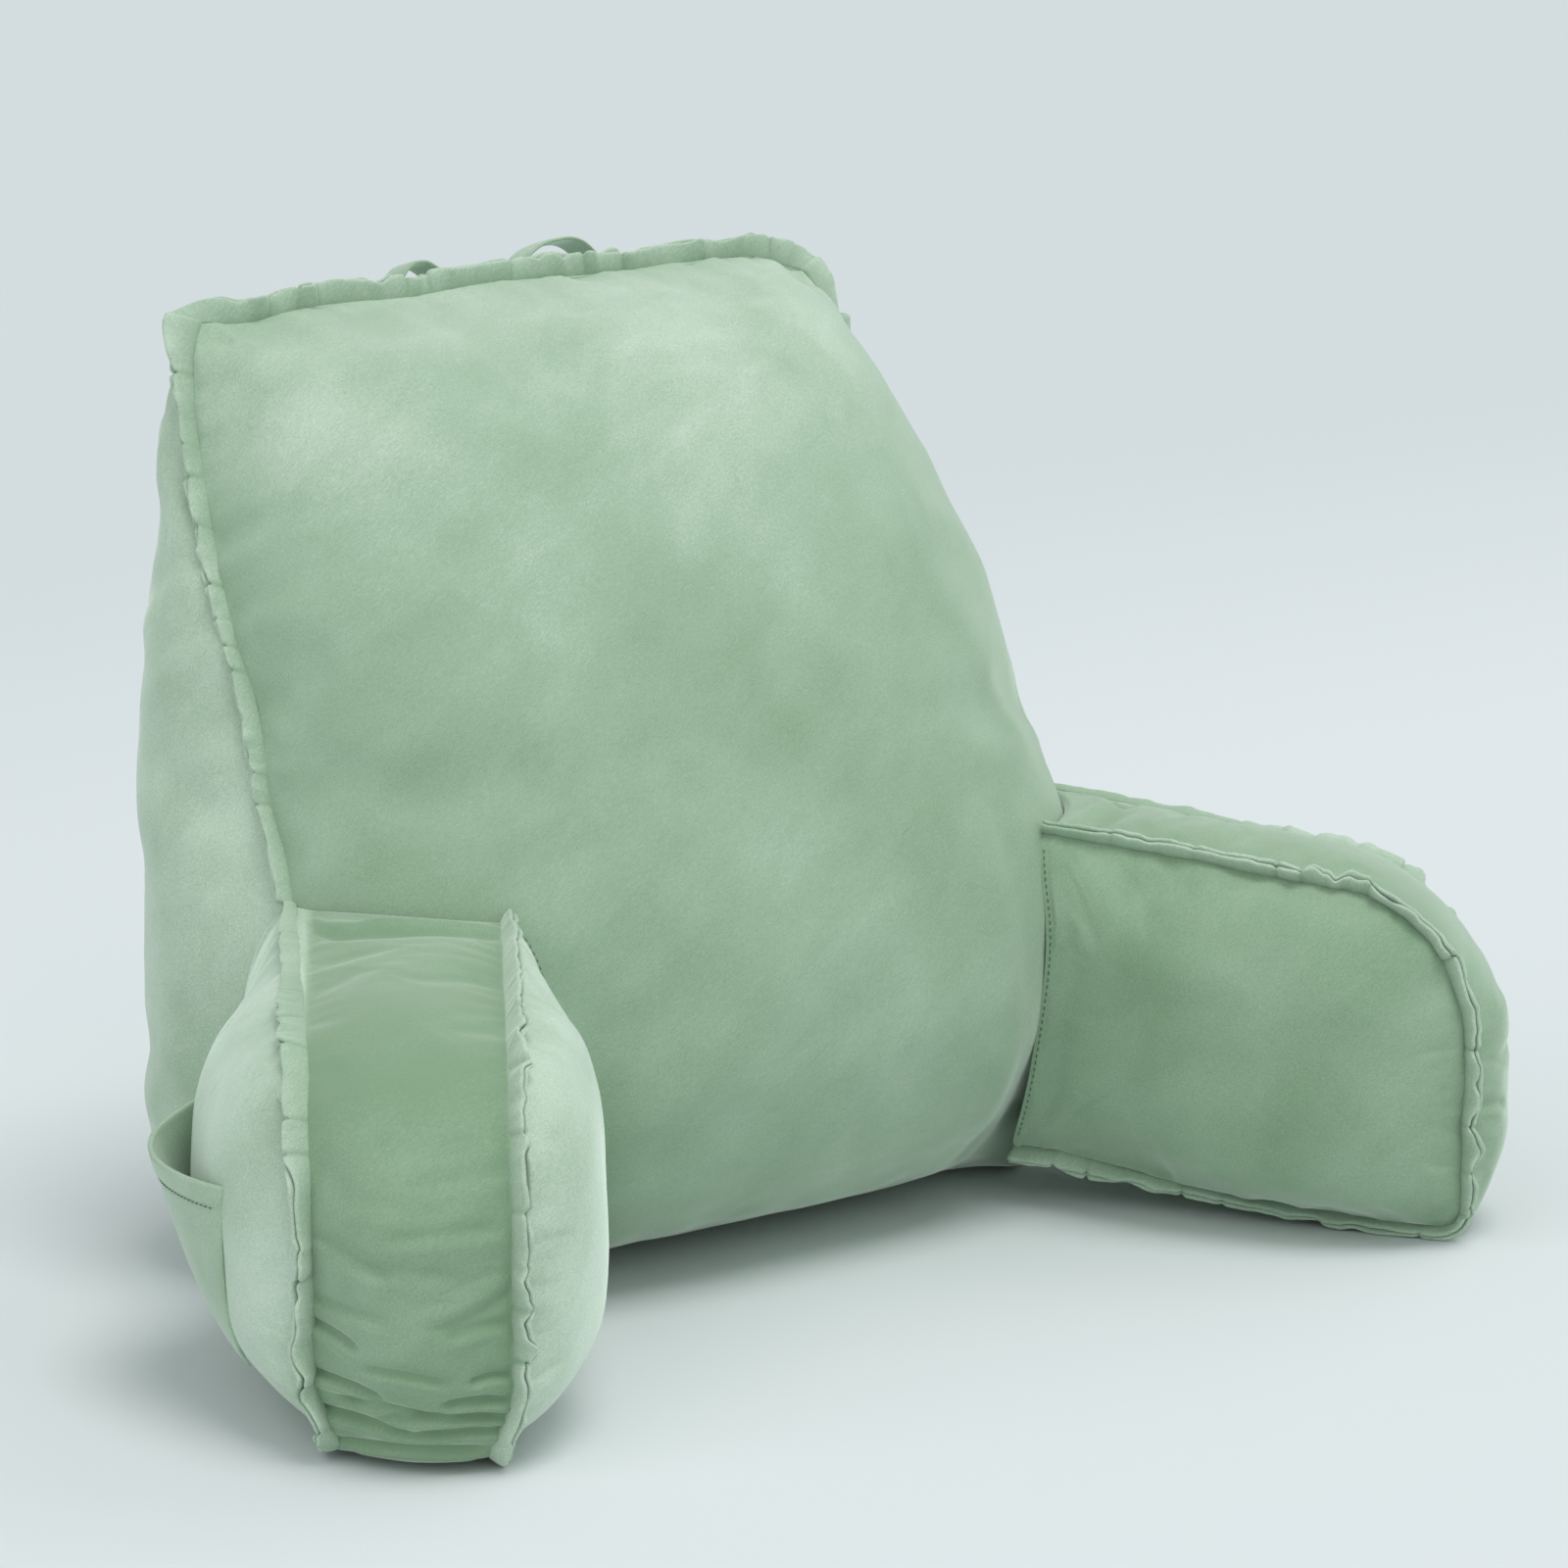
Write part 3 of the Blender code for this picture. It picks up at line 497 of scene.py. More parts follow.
def arm_shape():
    """The strip between the seams, and each panel as rings that shrink to its middle."""
    count = ARM_STEPS
    along, height, across = arm_outline_on_backrest(count, np.linspace(0, 1, STRIP_STEPS + 1))
    strip = strip_points(along, height, across)
    rounded = strip.copy()
    for _ in range(SHOULDER_ROUNDS):
        rounded[1:-1] = (rounded[:-2] + 2 * rounded[1:-1] + rounded[2:]) / 4
    upper = np.sin(np.pi * across) * ease((height - 0.10) / 0.05) * ease((along - 0.03) / 0.03)
    strip += (rounded - strip) * upper[..., None]
    strip[..., 2] = np.maximum(strip[..., 2], 0.0)
    points = [np.swapaxes(strip, 0, 1).reshape(-1, 3)]
    faces = [*tube_faces(STRIP_STEPS + 1, count)]
    first = (STRIP_STEPS + 1) * count
    radius = np.cos(np.pi / 2 * np.arange(1, PANEL_STEPS) / PANEL_STEPS)[:, None]
    i = np.arange(count)
    k = (i + 1) % count
    for across_end, seam in ((0, 0), (1, STRIP_STEPS * count)):
        ring_along = PANEL_CENTRE[0] + (along[:, -across_end] - PANEL_CENTRE[0]) * radius
        ring_height = PANEL_CENTRE[1] + (height[:, -across_end] - PANEL_CENTRE[1]) * radius
        points.append(panel_point(ring_along, ring_height, across_end).reshape(-1, 3))
        points.append(panel_middle(across_end)[None])
        last = first + (PANEL_STEPS - 2) * count
        faces += [*np.stack([seam + i, seam + k, first + k, first + i], axis=1)]
        faces += [*tube_faces(PANEL_STEPS - 1, count, first)]
        faces += [*np.stack([last + i, last + k, np.full(count, last + count)], axis=1)]
        first = last + count + 1
    return np.concatenate(points), faces


def mirrored(points, side):
    """The points as they are for the +X side, or with X turned round for the -X side."""
    return points * np.array((side, 1.0, 1.0))


# %% [markdown]
# ## Seam lines
#
# Every ruffle, pucker and stitch follows a seam, so the seams are worked out once: as points,
# with the way in which the gathered edge stands out of each.

# %% Seam paths
SIDE_AIM = np.array((0.82, 0.38, 0.20))
TOP_AIM = np.array((0.0, 0.06, 1.0))
CORNER_TURN = 0.030
BACK_SEAM_START = 0.240
RIM_LEAN = ((1.2, 1.2), (0.02, 1.25))  # inner and outer seam: over the top, down the front
FLOOR_TURN = 0.65


def back_seam():
    """Up one side, over the top and down the other, with the way that the edge stands out."""
    heights = np.linspace(BACK_SEAM_START, TOP.height, 160)
    row = level_at(heights)
    up = np.stack([-row.half_width, row.seam_y, heights], axis=1)
    side = np.tile(SIDE_AIM * (-1, 1, 1), (len(heights), 1))
    x, ones = np.linspace(-TOP.half_width, TOP.half_width, 240)[1:-1], np.ones(238)
    top = np.stack([x, ones * (TOP.seam_y + TOP.back_y) / 2, ones * TOP.height], axis=1)
    turned = ease((TOP.half_width - np.abs(x)) / CORNER_TURN)[:, None]
    corner = SIDE_AIM * np.stack([np.sign(x), ones, ones], axis=1)
    over = corner * (1 - turned) + TOP_AIM * turned
    path = np.concatenate([up, top, up[::-1] * (-1, 1, 1)])
    path[:, 2] += top_arch(path)
    return path, np.concatenate([side, over, side * (-1, 1, 1)])


def arm_seam(across):
    """One seam of the +X arm: over the top, down the front and back along the floor."""
    count = 800
    along, height, _ = arm_outline_on_backrest(count, np.array([float(across)]))
    along, height = along[:, 0], height[:, 0]
    flat_along, flat_height = arm_outline(count)
    free = flat_along > ARM_ROOT + 1e-4
    out_along, out_up = outward(flat_along, flat_height)
    side = (-1.0, 1.0)[across]
    points = arm_point(along, height, np.full(count, float(across)))
    low = ((1 - ease(height / TUCK_HEIGHT)) * (out_up < 0))[:, None]
    top_lean, front_lean = RIM_LEAN[across]
    lean = (top_lean + (front_lean - top_lean) * ease(7 * out_along - 6))[:, None]
    aim = radial(out_along, out_up) * (1 - FLOOR_TURN * low) * lean + side * PANEL_NORMAL
    return points[free], unit(aim)[free]


BACK_SEAM = back_seam()
ARM_SEAMS = (arm_seam(0), arm_seam(1))
seam_lengths = [path_lengths(path)[-1] for path, _ in (BACK_SEAM, *ARM_SEAMS)]
print("seam lengths:", np.round(seam_lengths, 3).tolist())


# %% [markdown]
# ## Filling the cushions
#
# A stuffed cover is under a light pressure from inside, and its cloth is a little too large for
# its seams. Blender's Cloth does just that: the seams are pinned, the cloth grows by one per
# cent, and pressure pushes it out. What moves too far is capped, so that the cushion keeps its
# measured outline. Finer gathers are then laid on the mesh along its seams.

# %% Pressure with pinned seams
FILL_FRAMES = 14
FILL_PRESSURE = 3.0
FILL_GROWTH = 0.010
POLE_REACH, POLE_FADE = 0.100, 0.055


def fill_out(obj, held, most, poles=()):
    """Swell a closed cover by cloth simulation; held is true where a vertex must stay.

    Round a pole, where the grid is too fine to fold well, all points take the same mean move.
    """
    before = read_points(obj)
    obj.vertex_groups.new(name="held").add(np.flatnonzero(held).tolist(), 1.0, "REPLACE")
    cloth = obj.modifiers.new("Filling", "CLOTH")
    settings = cloth.settings
    settings.quality = 5
    settings.mass = 0.3
    settings.tension_stiffness = settings.compression_stiffness = 12
    settings.shear_stiffness = 6
    settings.bending_stiffness = 0.6
    settings.use_pressure = True
    settings.uniform_pressure_force = FILL_PRESSURE
    settings.vertex_group_mass = "held"
    settings.shrink_min = -FILL_GROWTH
    settings.effector_weights.gravity = 0
    cloth.collision_settings.use_collision = False
    cloth.point_cache.frame_end = FILL_FRAMES
    scene = bpy.context.scene
    for number in range(1, FILL_FRAMES + 1):
        scene.frame_set(number)
    after = read_points(obj.evaluated_get(bpy.context.evaluated_depsgraph_get()))
    obj.modifiers.remove(cloth)
    obj.vertex_groups.clear()
    scene.frame_set(1)
    move = after - before
    far = np.linalg.norm(move, axis=1)
    move *= (most * np.tanh(far / most) / np.maximum(far, 1e-9))[:, None]
    for pole in poles:
        near = ease((POLE_REACH - np.linalg.norm(before - pole, axis=1)) / POLE_FADE)[:, None]
        move += ((move * near).sum(axis=0) / near.sum() - move) * near
    print(f"{obj.name}: swelled by up to {far.max() * 1000:.1f} mm, kept to {most * 1000:.0f}")
    write_points(obj, before + move)


def smooth_grid(obj):
    """One step of subdivision, applied, so that finer creases can be laid on the mesh."""
    step = obj.modifiers.new("Finer", "SUBSURF")
    step.levels = step.render_levels = 1
    evaluated = obj.evaluated_get(bpy.context.evaluated_depsgraph_get())
    mesh = bpy.data.meshes.new_from_object(evaluated)
    obj.modifiers.remove(step)
    old, obj.data = obj.data, mesh
    bpy.data.meshes.remove(old)
    mesh.name = obj.name
    mesh.shade_smooth()


def near_path(points, path):
    """For each point, its distance to a path and the length along the path of the nearest place."""
    nearest = np.empty(len(points), int)
    for part in np.array_split(np.arange(len(points)), max(1, len(points) // 4000)):
        nearest[part] = ((path**2).sum(axis=1) - 2 * points[part] @ path.T).argmin(axis=1)
    along = unit(np.gradient(path, axis=0))[nearest]
    apart = points - path[nearest]
    past = (apart * along).sum(axis=1).clip(-0.002, 0.002)
    distance = np.linalg.norm(apart - past[:, None] * along, axis=1)
    return distance, path_lengths(path)[nearest] + past


Gather = namedtuple("Gather", "height pitch reach end")
BACKREST_GATHERS = (Gather(0.0012, 0.024, 0.022, 0.09), Gather(0.0018, 0.061, 0.055, 0.18))
ARM_GATHERS = (Gather(0.0008, 0.021, 0.014, 0.052), Gather(0.0012, 0.052, 0.038, 0.052))


def puckers(place, distance, gather, seed):
    """Gathers that run in from a seam: uneven waves along it that fade out before the end."""
    phases = np.random.default_rng(seed).uniform(0, 2 * np.pi, 5)
    beat = 2 * np.pi * place / gather.pitch
    drift = 1.7 * np.sin(0.31 * beat + phases[0]) + 1.1 * np.sin(0.13 * beat + phases[1])
    wave = np.sin(beat + drift) + 0.55 * np.sin(1.83 * beat + 1.3 * drift + phases[2])
    strength = 0.55 + 0.45 * np.sin(0.19 * beat + phases[3]) * np.sin(0.07 * beat + phases[4])
    shape = wave * strength * (1 - bell(distance, 0.004)) * np.exp(-distance / gather.reach)
    return gather.height * (shape * ease((gather.end - distance) / 0.035))


# %% [markdown]
# ## Painted sheen and shade
#
# Each piece's colour is made lighter or darker by an attribute of painted light: painted sheen or
# painted shade on each panel, painted light high on the front, painted shade on the strips, low on
# the front and in creases, with a little random tone. The velvet material adds it to its own
# brushed patches.

# %% Painted light as an attribute
def store_tone_and_painted_light(obj, values):
    """Store the painted light at each vertex, added to the velvet's colour: 0 is plain, 0.5 much
    lighter.
    """
    layer = obj.data.attributes.new("nap", "FLOAT", "POINT")
    layer.data.foreach_set("value", np.asarray(values, np.float32))


# %% [markdown]
# ## The backrest
#
# The wedge first swells, then gets the gathers that its seams pull into the velvet, and the
# broad soft dents of its filling.

# %% Make the backrest
# The backrest's painted light: painted shade on the front low down, painted light added high up,
# painted sheen on the sides.
BACKREST_PAINTED_LIGHT = (-0.18, 0.27, 0.21)  # the front low down, how much lighter it is high up, sides


def make_backrest():
    """The filled wedge: swelled, gathered at its seam, and dented by its filling."""
    obj = add_piece("backrest_cover", *backrest_shape())
    points = read_points(obj)
    path = BACK_SEAM[0]
    whole_seam = level_at(np.linspace(0, TOP.height, 120))
    low = np.stack([whole_seam.half_width, whole_seam.seam_y, whole_seam.height], axis=1)
    seam = np.concatenate([path, low, low * (-1, 1, 1)])
    distance, _ = near_path(points, seam)
    root = np.abs(points[:, 0]) > 0.15
    root &= (points[:, 2] < 0.275) & (points[:, 1] < 0.0)
    fill_out(obj, (distance < 0.004) | (points[:, 2] < 0.004) | root, most=0.009)
    smooth_grid(obj)
    points, normals = read_points(obj), read_points(obj, "normal")
    distance, place = near_path(points, path)
    free = ease((points[:, 2] - 0.01) / 0.03)
    offset = sum(puckers(place, distance, row, 3 + k) for k, row in enumerate(BACKREST_GATHERS))
    stretched = points * (1.0, 1.0, 2.4)  # so that the dents lie level
    offset += 0.0010 * lumps(stretched, 0.16, 11) + 0.0005 * lumps(stretched, 0.07, 12)
    at_foot = bell(points[:, 2] - 0.045, 0.045) * (points[:, 1] < -0.05)
    offset += 0.0007 * lumps(points, 0.030, 17, waves=30) * at_foot
    points += (offset * free)[:, None] * normals
    points[:, 2] = np.maximum(points[:, 2], 0.0)
    write_points(obj, points)
    # Painted light: the front is painted darker low down and lighter high up, the sides lighter as
    # painted sheen, with a little random tone.
    behind = points[:, 1] - level_at(points[:, 2].clip(0, TOP.height)).seam_y
    on_side = ease((behind + 0.002) / 0.004)
    low_front_painted_shade, high_front_painted_light, side_painted_sheen = BACKREST_PAINTED_LIGHT
    front_painted_light = low_front_painted_shade + high_front_painted_light * ease((points[:, 2] - 0.36) / 0.17)
    store_tone_and_painted_light(obj, front_painted_light + (side_painted_sheen - front_painted_light) * on_side + 0.06 * lumps(points, 0.17, 13))
    return obj


backrest = make_backrest()
print("backrest:", len(backrest.data.polygons), "faces")

# %% [markdown]
# ## The arms
#
# One arm is swelled, and both arms start from it. The near arm shows its strip face on. Its cloth
# has slid down a little, so that soft troughs lie across its foot. They are listed: each runs from
# one place on the strip to another, given as the share across and the height, and fades at its
# ends.

# %% Troughs on the strip
Trough = namedtuple("Trough", "across_from height_from across_to height_to depth width")
FOOT_TROUGHS = (
    Trough(1.00, 0.052, 0.62, 0.044, 0.0044, 0.0026),
    Trough(0.74, 0.062, 0.30, 0.056, 0.0030, 0.0030),
    Trough(0.86, 0.041, 0.40, 0.036, 0.0036, 0.0024),
    Trough(0.66, 0.034, 0.00, 0.033, 0.0048, 0.0026),
    Trough(1.00, 0.031, 0.46, 0.023, 0.0044, 0.0028),
    Trough(0.36, 0.043, 0.00, 0.042, 0.0046, 0.0026),
    Trough(0.22, 0.056, 0.00, 0.056, 0.0036, 0.0024),
    Trough(0.50, 0.024, 0.00, 0.025, 0.0040, 0.0026),
    Trough(0.92, 0.013, 0.08, 0.014, 0.0040, 0.0028),
    Trough(0.34, 0.082, 0.00, 0.086, 0.0020, 0.0034),
    Trough(1.00, 0.093, 0.60, 0.089, 0.0018, 0.0040),
    Trough(0.80, 0.118, 0.20, 0.114, 0.0011, 0.0050),
    Trough(0.90, 0.150, 0.30, 0.149, 0.0008, 0.0050),
    Trough(0.70, 0.176, 0.10, 0.178, 0.0008, 0.0055),
    Trough(1.00, 0.080, 0.74, 0.071, 0.0036, 0.0030),
    Trough(0.00, 0.104, 0.42, 0.086, 0.0020, 0.0036),
    Trough(0.96, 0.130, 0.58, 0.112, 0.0015, 0.0040),
    Trough(0.62, 0.134, 0.04, 0.139, 0.0016, 0.0042),
    Trough(0.52, 0.161, 0.00, 0.168, 0.0014, 0.0044),
)
# A roll of cloth lies against the backrest, and a furrow in front of it
Bell = namedtuple("Bell", "height place width")
ROOT_ROLL, ROOT_FURROW = Bell(0.0042, 0.011, 0.007), Bell(0.0046, 0.027, 0.008)


def trough_depth(across, height, width, trough):
    """A soft furrow along a line: a bell across it, level along it, faded at both ends."""
    start = np.array((trough.across_from * width, trough.height_from))
    end = np.array((trough.across_to * width, trough.height_to))
    line = end - start
    reach = np.linalg.norm(line)
    line /= reach
    rel = np.stack([across * width, height], axis=-1) - start
    t = rel @ line / reach
    bow = 0.0025 * np.sin(np.pi * np.clip(t, 0, 1))
    off = rel @ np.array((-line[1], line[0])) + bow
    ends = ease((t + 0.05) / 0.2) * ease((1.05 - t) / 0.25)
    lip = 0.45 * bell(off - 1.9 * trough.width, 1.2 * trough.width)
    return -trough.depth * (bell(off, trough.width) - lip) * ends


# %% Make the arms
STRIP_WIDTH = float(np.linalg.norm(OUTER_END - INNER_END))


def arm_frame(points):
    """How far along the +X arm each point is, and its share across the strip."""
    flat = points[:, :2] - INNER_START
    return flat @ ARM_AXIS[:2], flat @ PANEL_NORMAL[:2] / STRIP_WIDTH


def make_filled_arm():
    """The +X arm, swelled by its filling and subdivided: both arms start from it."""
    obj = add_piece("filled_arm", *arm_shape())
    points = read_points(obj)
    seams = np.concatenate([ARM_SEAMS[0][0], ARM_SEAMS[1][0]])
    distance, _ = near_path(points, seams)
    root = inside_backrest(points + 0.02 * -ARM_AXIS)
    held = (distance < 0.003) | (points[:, 2] < 0.002) | root
    fill_out(obj, held, most=0.007, poles=(panel_middle(0), panel_middle(1)))
    smooth_grid(obj)
    return obj


def root_fold(points, along, across):
    """A roll and a furrow on the strip's top, at set places from the backrest, both bells."""
    fold = np.zeros(len(points))
    near = (points[:, 2] > 0.19) & (along < 0.09) & (across > 0) & (across < 1)
    gap = along[near] - root_start(points[near, 2], across[near])
    roll, furrow = (b.height * bell(gap - b.place, b.width) for b in (ROOT_ROLL, ROOT_FURROW))
    fold[near] = (roll - furrow) * np.sin(np.pi * across[near]) ** 0.5
    return fold


def make_arm(name, side, seed, troughs, painted_light_by_piece):
    """A filled arm: gathered at both seams, creased on its strip, with painted sheen and shade by
    piece and in its creases.
    """
    mesh = filled_arm.data.copy()
    mesh.name = name
    obj = bpy.data.objects.new(name, mesh)
    bpy.context.scene.collection.objects.link(obj)
    points, normals = read_points(obj), read_points(obj, "normal")
    if side < 0:
        mesh.flip_normals()
    along, across = arm_frame(points)
    on_strip = ease((across + 0.02) / 0.05) * ease((1.02 - across) / 0.05)
    offset = np.zeros(len(points))
    for k, (path, _) in enumerate(ARM_SEAMS):
        distance, place = near_path(points, path)
        seeds = (seed + k, seed + 5 + k)
        gathers = sum(puckers(place, distance, *pair) for pair in zip(ARM_GATHERS, seeds))
        offset += gathers * (1 - 0.65 * on_strip)
    offset += 0.0008 * lumps(points * (1, 1, 2.0), 0.10, seed + 20)
    creases = sum(trough_depth(across, points[:, 2], STRIP_WIDTH, trough) for trough in troughs)
    creases *= ease((along - 0.17) / 0.06) * on_strip
    at_root = inside_backrest(points - 0.006 * ARM_AXIS)
    offset = np.where(at_root, 0.0, offset * ease(points[:, 2] / 0.012))
    creases = creases * ease(points[:, 2] / 0.006) + root_fold(points, along, across)
    points += (offset + creases)[:, None] * normals
    points[:, 2] = np.maximum(points[:, 2], 0.0)
    write_points(obj, mirrored(points, side))
    # Painted light: each piece gets its own painted sheen or shade, the strip is painted darker
    # near its top, and the creases are painted darkest as shade, with a little random tone.
    strip_painted_light, inner_painted_light, outer_painted_light = painted_light_by_piece
    nap = np.where(across > 0.5, outer_painted_light, inner_painted_light)
    nap = nap + (strip_painted_light - 0.12 * ease((points[:, 2] - 0.15) / 0.08) - nap) * on_strip
    store_tone_and_painted_light(obj, nap + 45 * np.minimum(creases, 0) + 0.05 * lumps(points, 0.09, seed + 30))
    return obj


filled_arm = make_filled_arm()
# The last numbers of each arm are the painted light on its strip, inner panel and outer panel.
arms = {
    "left": make_arm("arm_left_cover", -1, 31, FOOT_TROUGHS, (-0.40, 0.33, 0.18)),
    "right": make_arm("arm_right_cover", 1, 57, FOOT_TROUGHS[9:14], (-0.20, -0.33, 0.15)),
}
bpy.data.objects.remove(filled_arm)
print("arms:", [len(arm.data.polygons) for arm in arms.values()], "faces")

# %% [markdown]
# ## The ruffled edges
#
# The seam allowance is left outside, and it is longer than the seam, so it waves. It has two
# layers of velvet, each with a soft rounded rim. One closed profile is carried along the seam: it
# is narrow in the stitches and opens towards its two rims, with a cleft between them. The waves,
# the uneven widths and a few sharp pleats change along the way.

# %% Ruffle surface
ARM_SIDES = {"left": -1, "right": 1}
RUFFLE_WIDTH, RUFFLE_FLOOR_GAP = 0.0116, 0.0006
FLAT_RUN = 0.17
LAYER = 0.0026
RUFFLE_STEP = 0.0012
PROFILE_STEPS = 9
Pleat = namedtuple("Pleat", "place depth shift")


def read_along(path, aims, step):
    """Even places along a path, with its points and ways there."""
    length = path_lengths(path)
    at = np.linspace(0, length[-1], int(length[-1] / step))
    return at, at_lengths(at, length, path), unit(at_lengths(at, length, aims))


def uneven(at, pitch, seed):
    """Waves whose length and height wander: a sine of a drifting beat, times a slow swell."""
    phases = np.random.default_rng(seed).uniform(0, 2 * np.pi, 6)
    beat = 2 * np.pi * at / pitch
    beat = beat + 1.5 * np.sin(0.37 * beat + phases[0]) + 1.2 * np.sin(0.21 * beat + phases[1])
    swell = 0.62 + 0.38 * np.sin(0.27 * beat + phases[2])
    return swell * (np.sin(beat + phases[3]) + 0.3 * np.sin(2.3 * beat + phases[4]))


def pleats_along(length, seed, gap=0.040):
    """Sharp pleats at uneven places, each with its depth and the step that it makes."""
    random = np.random.default_rng(seed)
    places = np.cumsum(gap * random.uniform(0.35, 1.65, int(2 * length / gap)))
    places = places[places < length - 0.01]
    depths, shifts = random.uniform(0.4, 1.0, len(places)), random.choice((-1.0, 1.0), len(places))
    return [Pleat(*row) for row in zip(places, depths, shifts)]


def layer_outline(width, thick, apart, sign):
    """One layer's section: out along its face, round its rim, back inside.

    It gives the way out of the seam and the way across it, for each place along the seam.
    """
    out = np.linspace(0, 1, PROFILE_STEPS)
    turn = np.linspace(0, np.pi, 7)[1:-1]
    w = width[:, None]
    inner = sign * (apart[:, None] * out**1.5)
    outer = inner + sign * thick[:, None] * (0.30 + 0.70 * np.sin(np.pi / 2 * out**0.7))
    middle, half = (inner + outer)[:, -1:] / 2, (outer - inner)[:, -1:] / 2
    a = np.concatenate([w * out, w + np.abs(half) * np.sin(turn), w * out[::-1][:-3]], axis=1)
    b = np.concatenate([outer, middle + half * np.cos(turn), inner[:, ::-1][:, :-3]], axis=1)
    return a, b


def make_ruffle(name, seam, side, seed, flat_run=True, narrowed=0.0):
    """Two layers that stand out of a seam, waving, pleated, parted at the rim.

    flat_run is for an arm: its edge starts narrow at the backrest and lies flatter over the top,
    where narrowed is the share of its width that it loses.
    """
    at, base, aim = read_along(*seam, RUFFLE_STEP)
    along = unit(np.gradient(base, axis=0))
    sideways = unit(np.cross(along, aim))
    low = bell(base[:, 2], 0.035)
    corner = np.abs(base) * (1, 0, 1) + base * (0, 1, 0) - (TOP.half_width, TOP.seam_y, TOP.height)
    tab = bell(np.linalg.norm(corner, axis=1), 0.020)  # a top corner's wide tab
    calm = 1 - 0.8 * tab
    if flat_run:
        calm *= (1 - 0.55 * ease((FLAT_RUN - at) / 0.05)) * (1 - 0.5 * low)
        start = 0.30 * bell(at, 0.030) + narrowed * ease((FLAT_RUN - at) / 0.05)
    else:
        start = 0.24 * ease((TOP.height - 0.02 - base[:, 2]) / 0.03)
    wave = 0.0026 * uneven(at, 0.042, seed) + 0.0006 * uneven(at, 0.017, seed + 1)
    swing = 0.0018 * uneven(at, 0.060, seed + 2)
    shape = RUFFLE_WIDTH * (1 - 0.25 * low + 0.55 * tab - start)
    widths = [shape * (1 + 0.13 * calm * uneven(at, 0.038, seed + 3 + k)) for k in (0, 1)]
    apart = 0.0002 + 0.0007 * (0.3 + 0.7 * uneven(at, 0.09, seed + 7)).clip(0, 2)
    wave *= calm
    pinch = np.zeros_like(at)
    for pleat in pleats_along(at[-1], seed + 8):
        near = (at - pleat.place) / 0.0030
        depth = pleat.depth * np.interp(pleat.place, at, calm)
        pinch += depth * bell(near, 0.6)
        swing -= 0.0022 * depth * near * bell(near)
        step = np.tanh(near) * bell(near, 4.5)
        wave += 0.0016 * depth * pleat.shift * step
        widths = [w * (1 + 0.05 * pleat.shift * depth * step) for w in widths]
    widths = [w * (1 - 0.16 * pinch.clip(0, 1)) for w in widths]
    thick = LAYER * (1 - 0.45 * pinch.clip(0, 1))
    first = layer_outline(widths[0], thick, apart, 1.0)
    second = layer_outline(widths[1], thick, apart, -1.0)
    a, b = (np.concatenate([one, two[:, ::-1]], axis=1) for one, two in zip(first, second))
    share = (a / RUFFLE_WIDTH).clip(0, 1.2)
    b = b + wave[:, None] * share**1.3
    a = a - 0.0025 * (1 - share) - 0.0012 * pinch[:, None] * share
    slide = swing[:, None] * share
    points = base[:, None] + a[..., None] * aim[:, None] + b[..., None] * sideways[:, None]
    points = points + slide[..., None] * along[:, None]
    points[..., 2] = np.maximum(points[..., 2], RUFFLE_FLOOR_GAP)
    faces = closed_tube(*points.shape[:2])
    obj = add_piece(name, mirrored(points.reshape(-1, 3), side), faces)
    # Painted light: lighter towards the rims as painted sheen, darker in the pleats as painted
    # shade.
    nap = 0.22 * (share - 0.75) - 0.25 * pinch[:, None] + 0.10
    if len(obj.data.vertices) == nap.size:
        store_tone_and_painted_light(obj, nap.ravel())
    return obj, float(at[-1])


ruffles, ruffle_lengths = {}, {}
back_edge = make_ruffle("ruffle_back_edge", BACK_SEAM, 1, 71, flat_run=False)
ruffles["ruffle_back"], ruffle_lengths["ruffle_back"] = back_edge
for arm_name, arm_side in ARM_SIDES.items():
    for end, place in enumerate(("inner", "outer")):
        node = f"ruffle_{arm_name}_{place}"
        edge = make_ruffle(
            f"{node}_edge", ARM_SEAMS[end], arm_side, 80 + 9 * end + arm_side, narrowed=0.28 * end
        )
        ruffles[node], ruffle_lengths[node] = edge
print("ruffles:", {node: len(obj.data.polygons) for node, obj in ruffles.items()})

# %% [markdown]
# ## The side pocket
#
# A patch of velvet is sewn to the outer panel at its sides and foot. Its mouth is hemmed and
# stands open. The patch is a grid of two sides, over the panel's own surface.

# %% Make the pocket
POCKET_FRONT, POCKET_BACK = 0.213, 0.040
POCKET_BOTTOM = 0.040
POCKET_MOUTH_FRONT, POCKET_MOUTH_BACK = 0.141, 0.150
POCKET_THICKNESS, POCKET_GAPE, POCKET_SEAT = 0.0022, 0.017, 0.0014
POCKET_ACROSS, POCKET_UP = 64, 48
HEM_SHARE = 0.13
MOUTH_SAG, POCKET_RIPPLE = 0.006, 0.0012


def over_panel(u, v):
    """The panel's point under a place of the pocket, and the gap there: it grows as v squared.

    u runs across the pocket from the back and v runs up it, both from 0 to 1.
    """
    along = POCKET_BACK + (POCKET_FRONT - POCKET_BACK) * u
    mouth = POCKET_MOUTH_BACK + (POCKET_MOUTH_FRONT - POCKET_MOUTH_BACK) * u
    mouth = mouth - MOUTH_SAG * np.sin(np.pi * u)
    height = POCKET_BOTTOM + (mouth - POCKET_BOTTOM) * v
    gap = POCKET_SEAT + POCKET_GAPE * np.sin(np.pi * u) ** 0.8 * v**2
    gap += POCKET_RIPPLE * np.sin(9 * u + 3 * v) * np.sin(np.pi * u) * v
    return panel_point(along, height, 1), gap


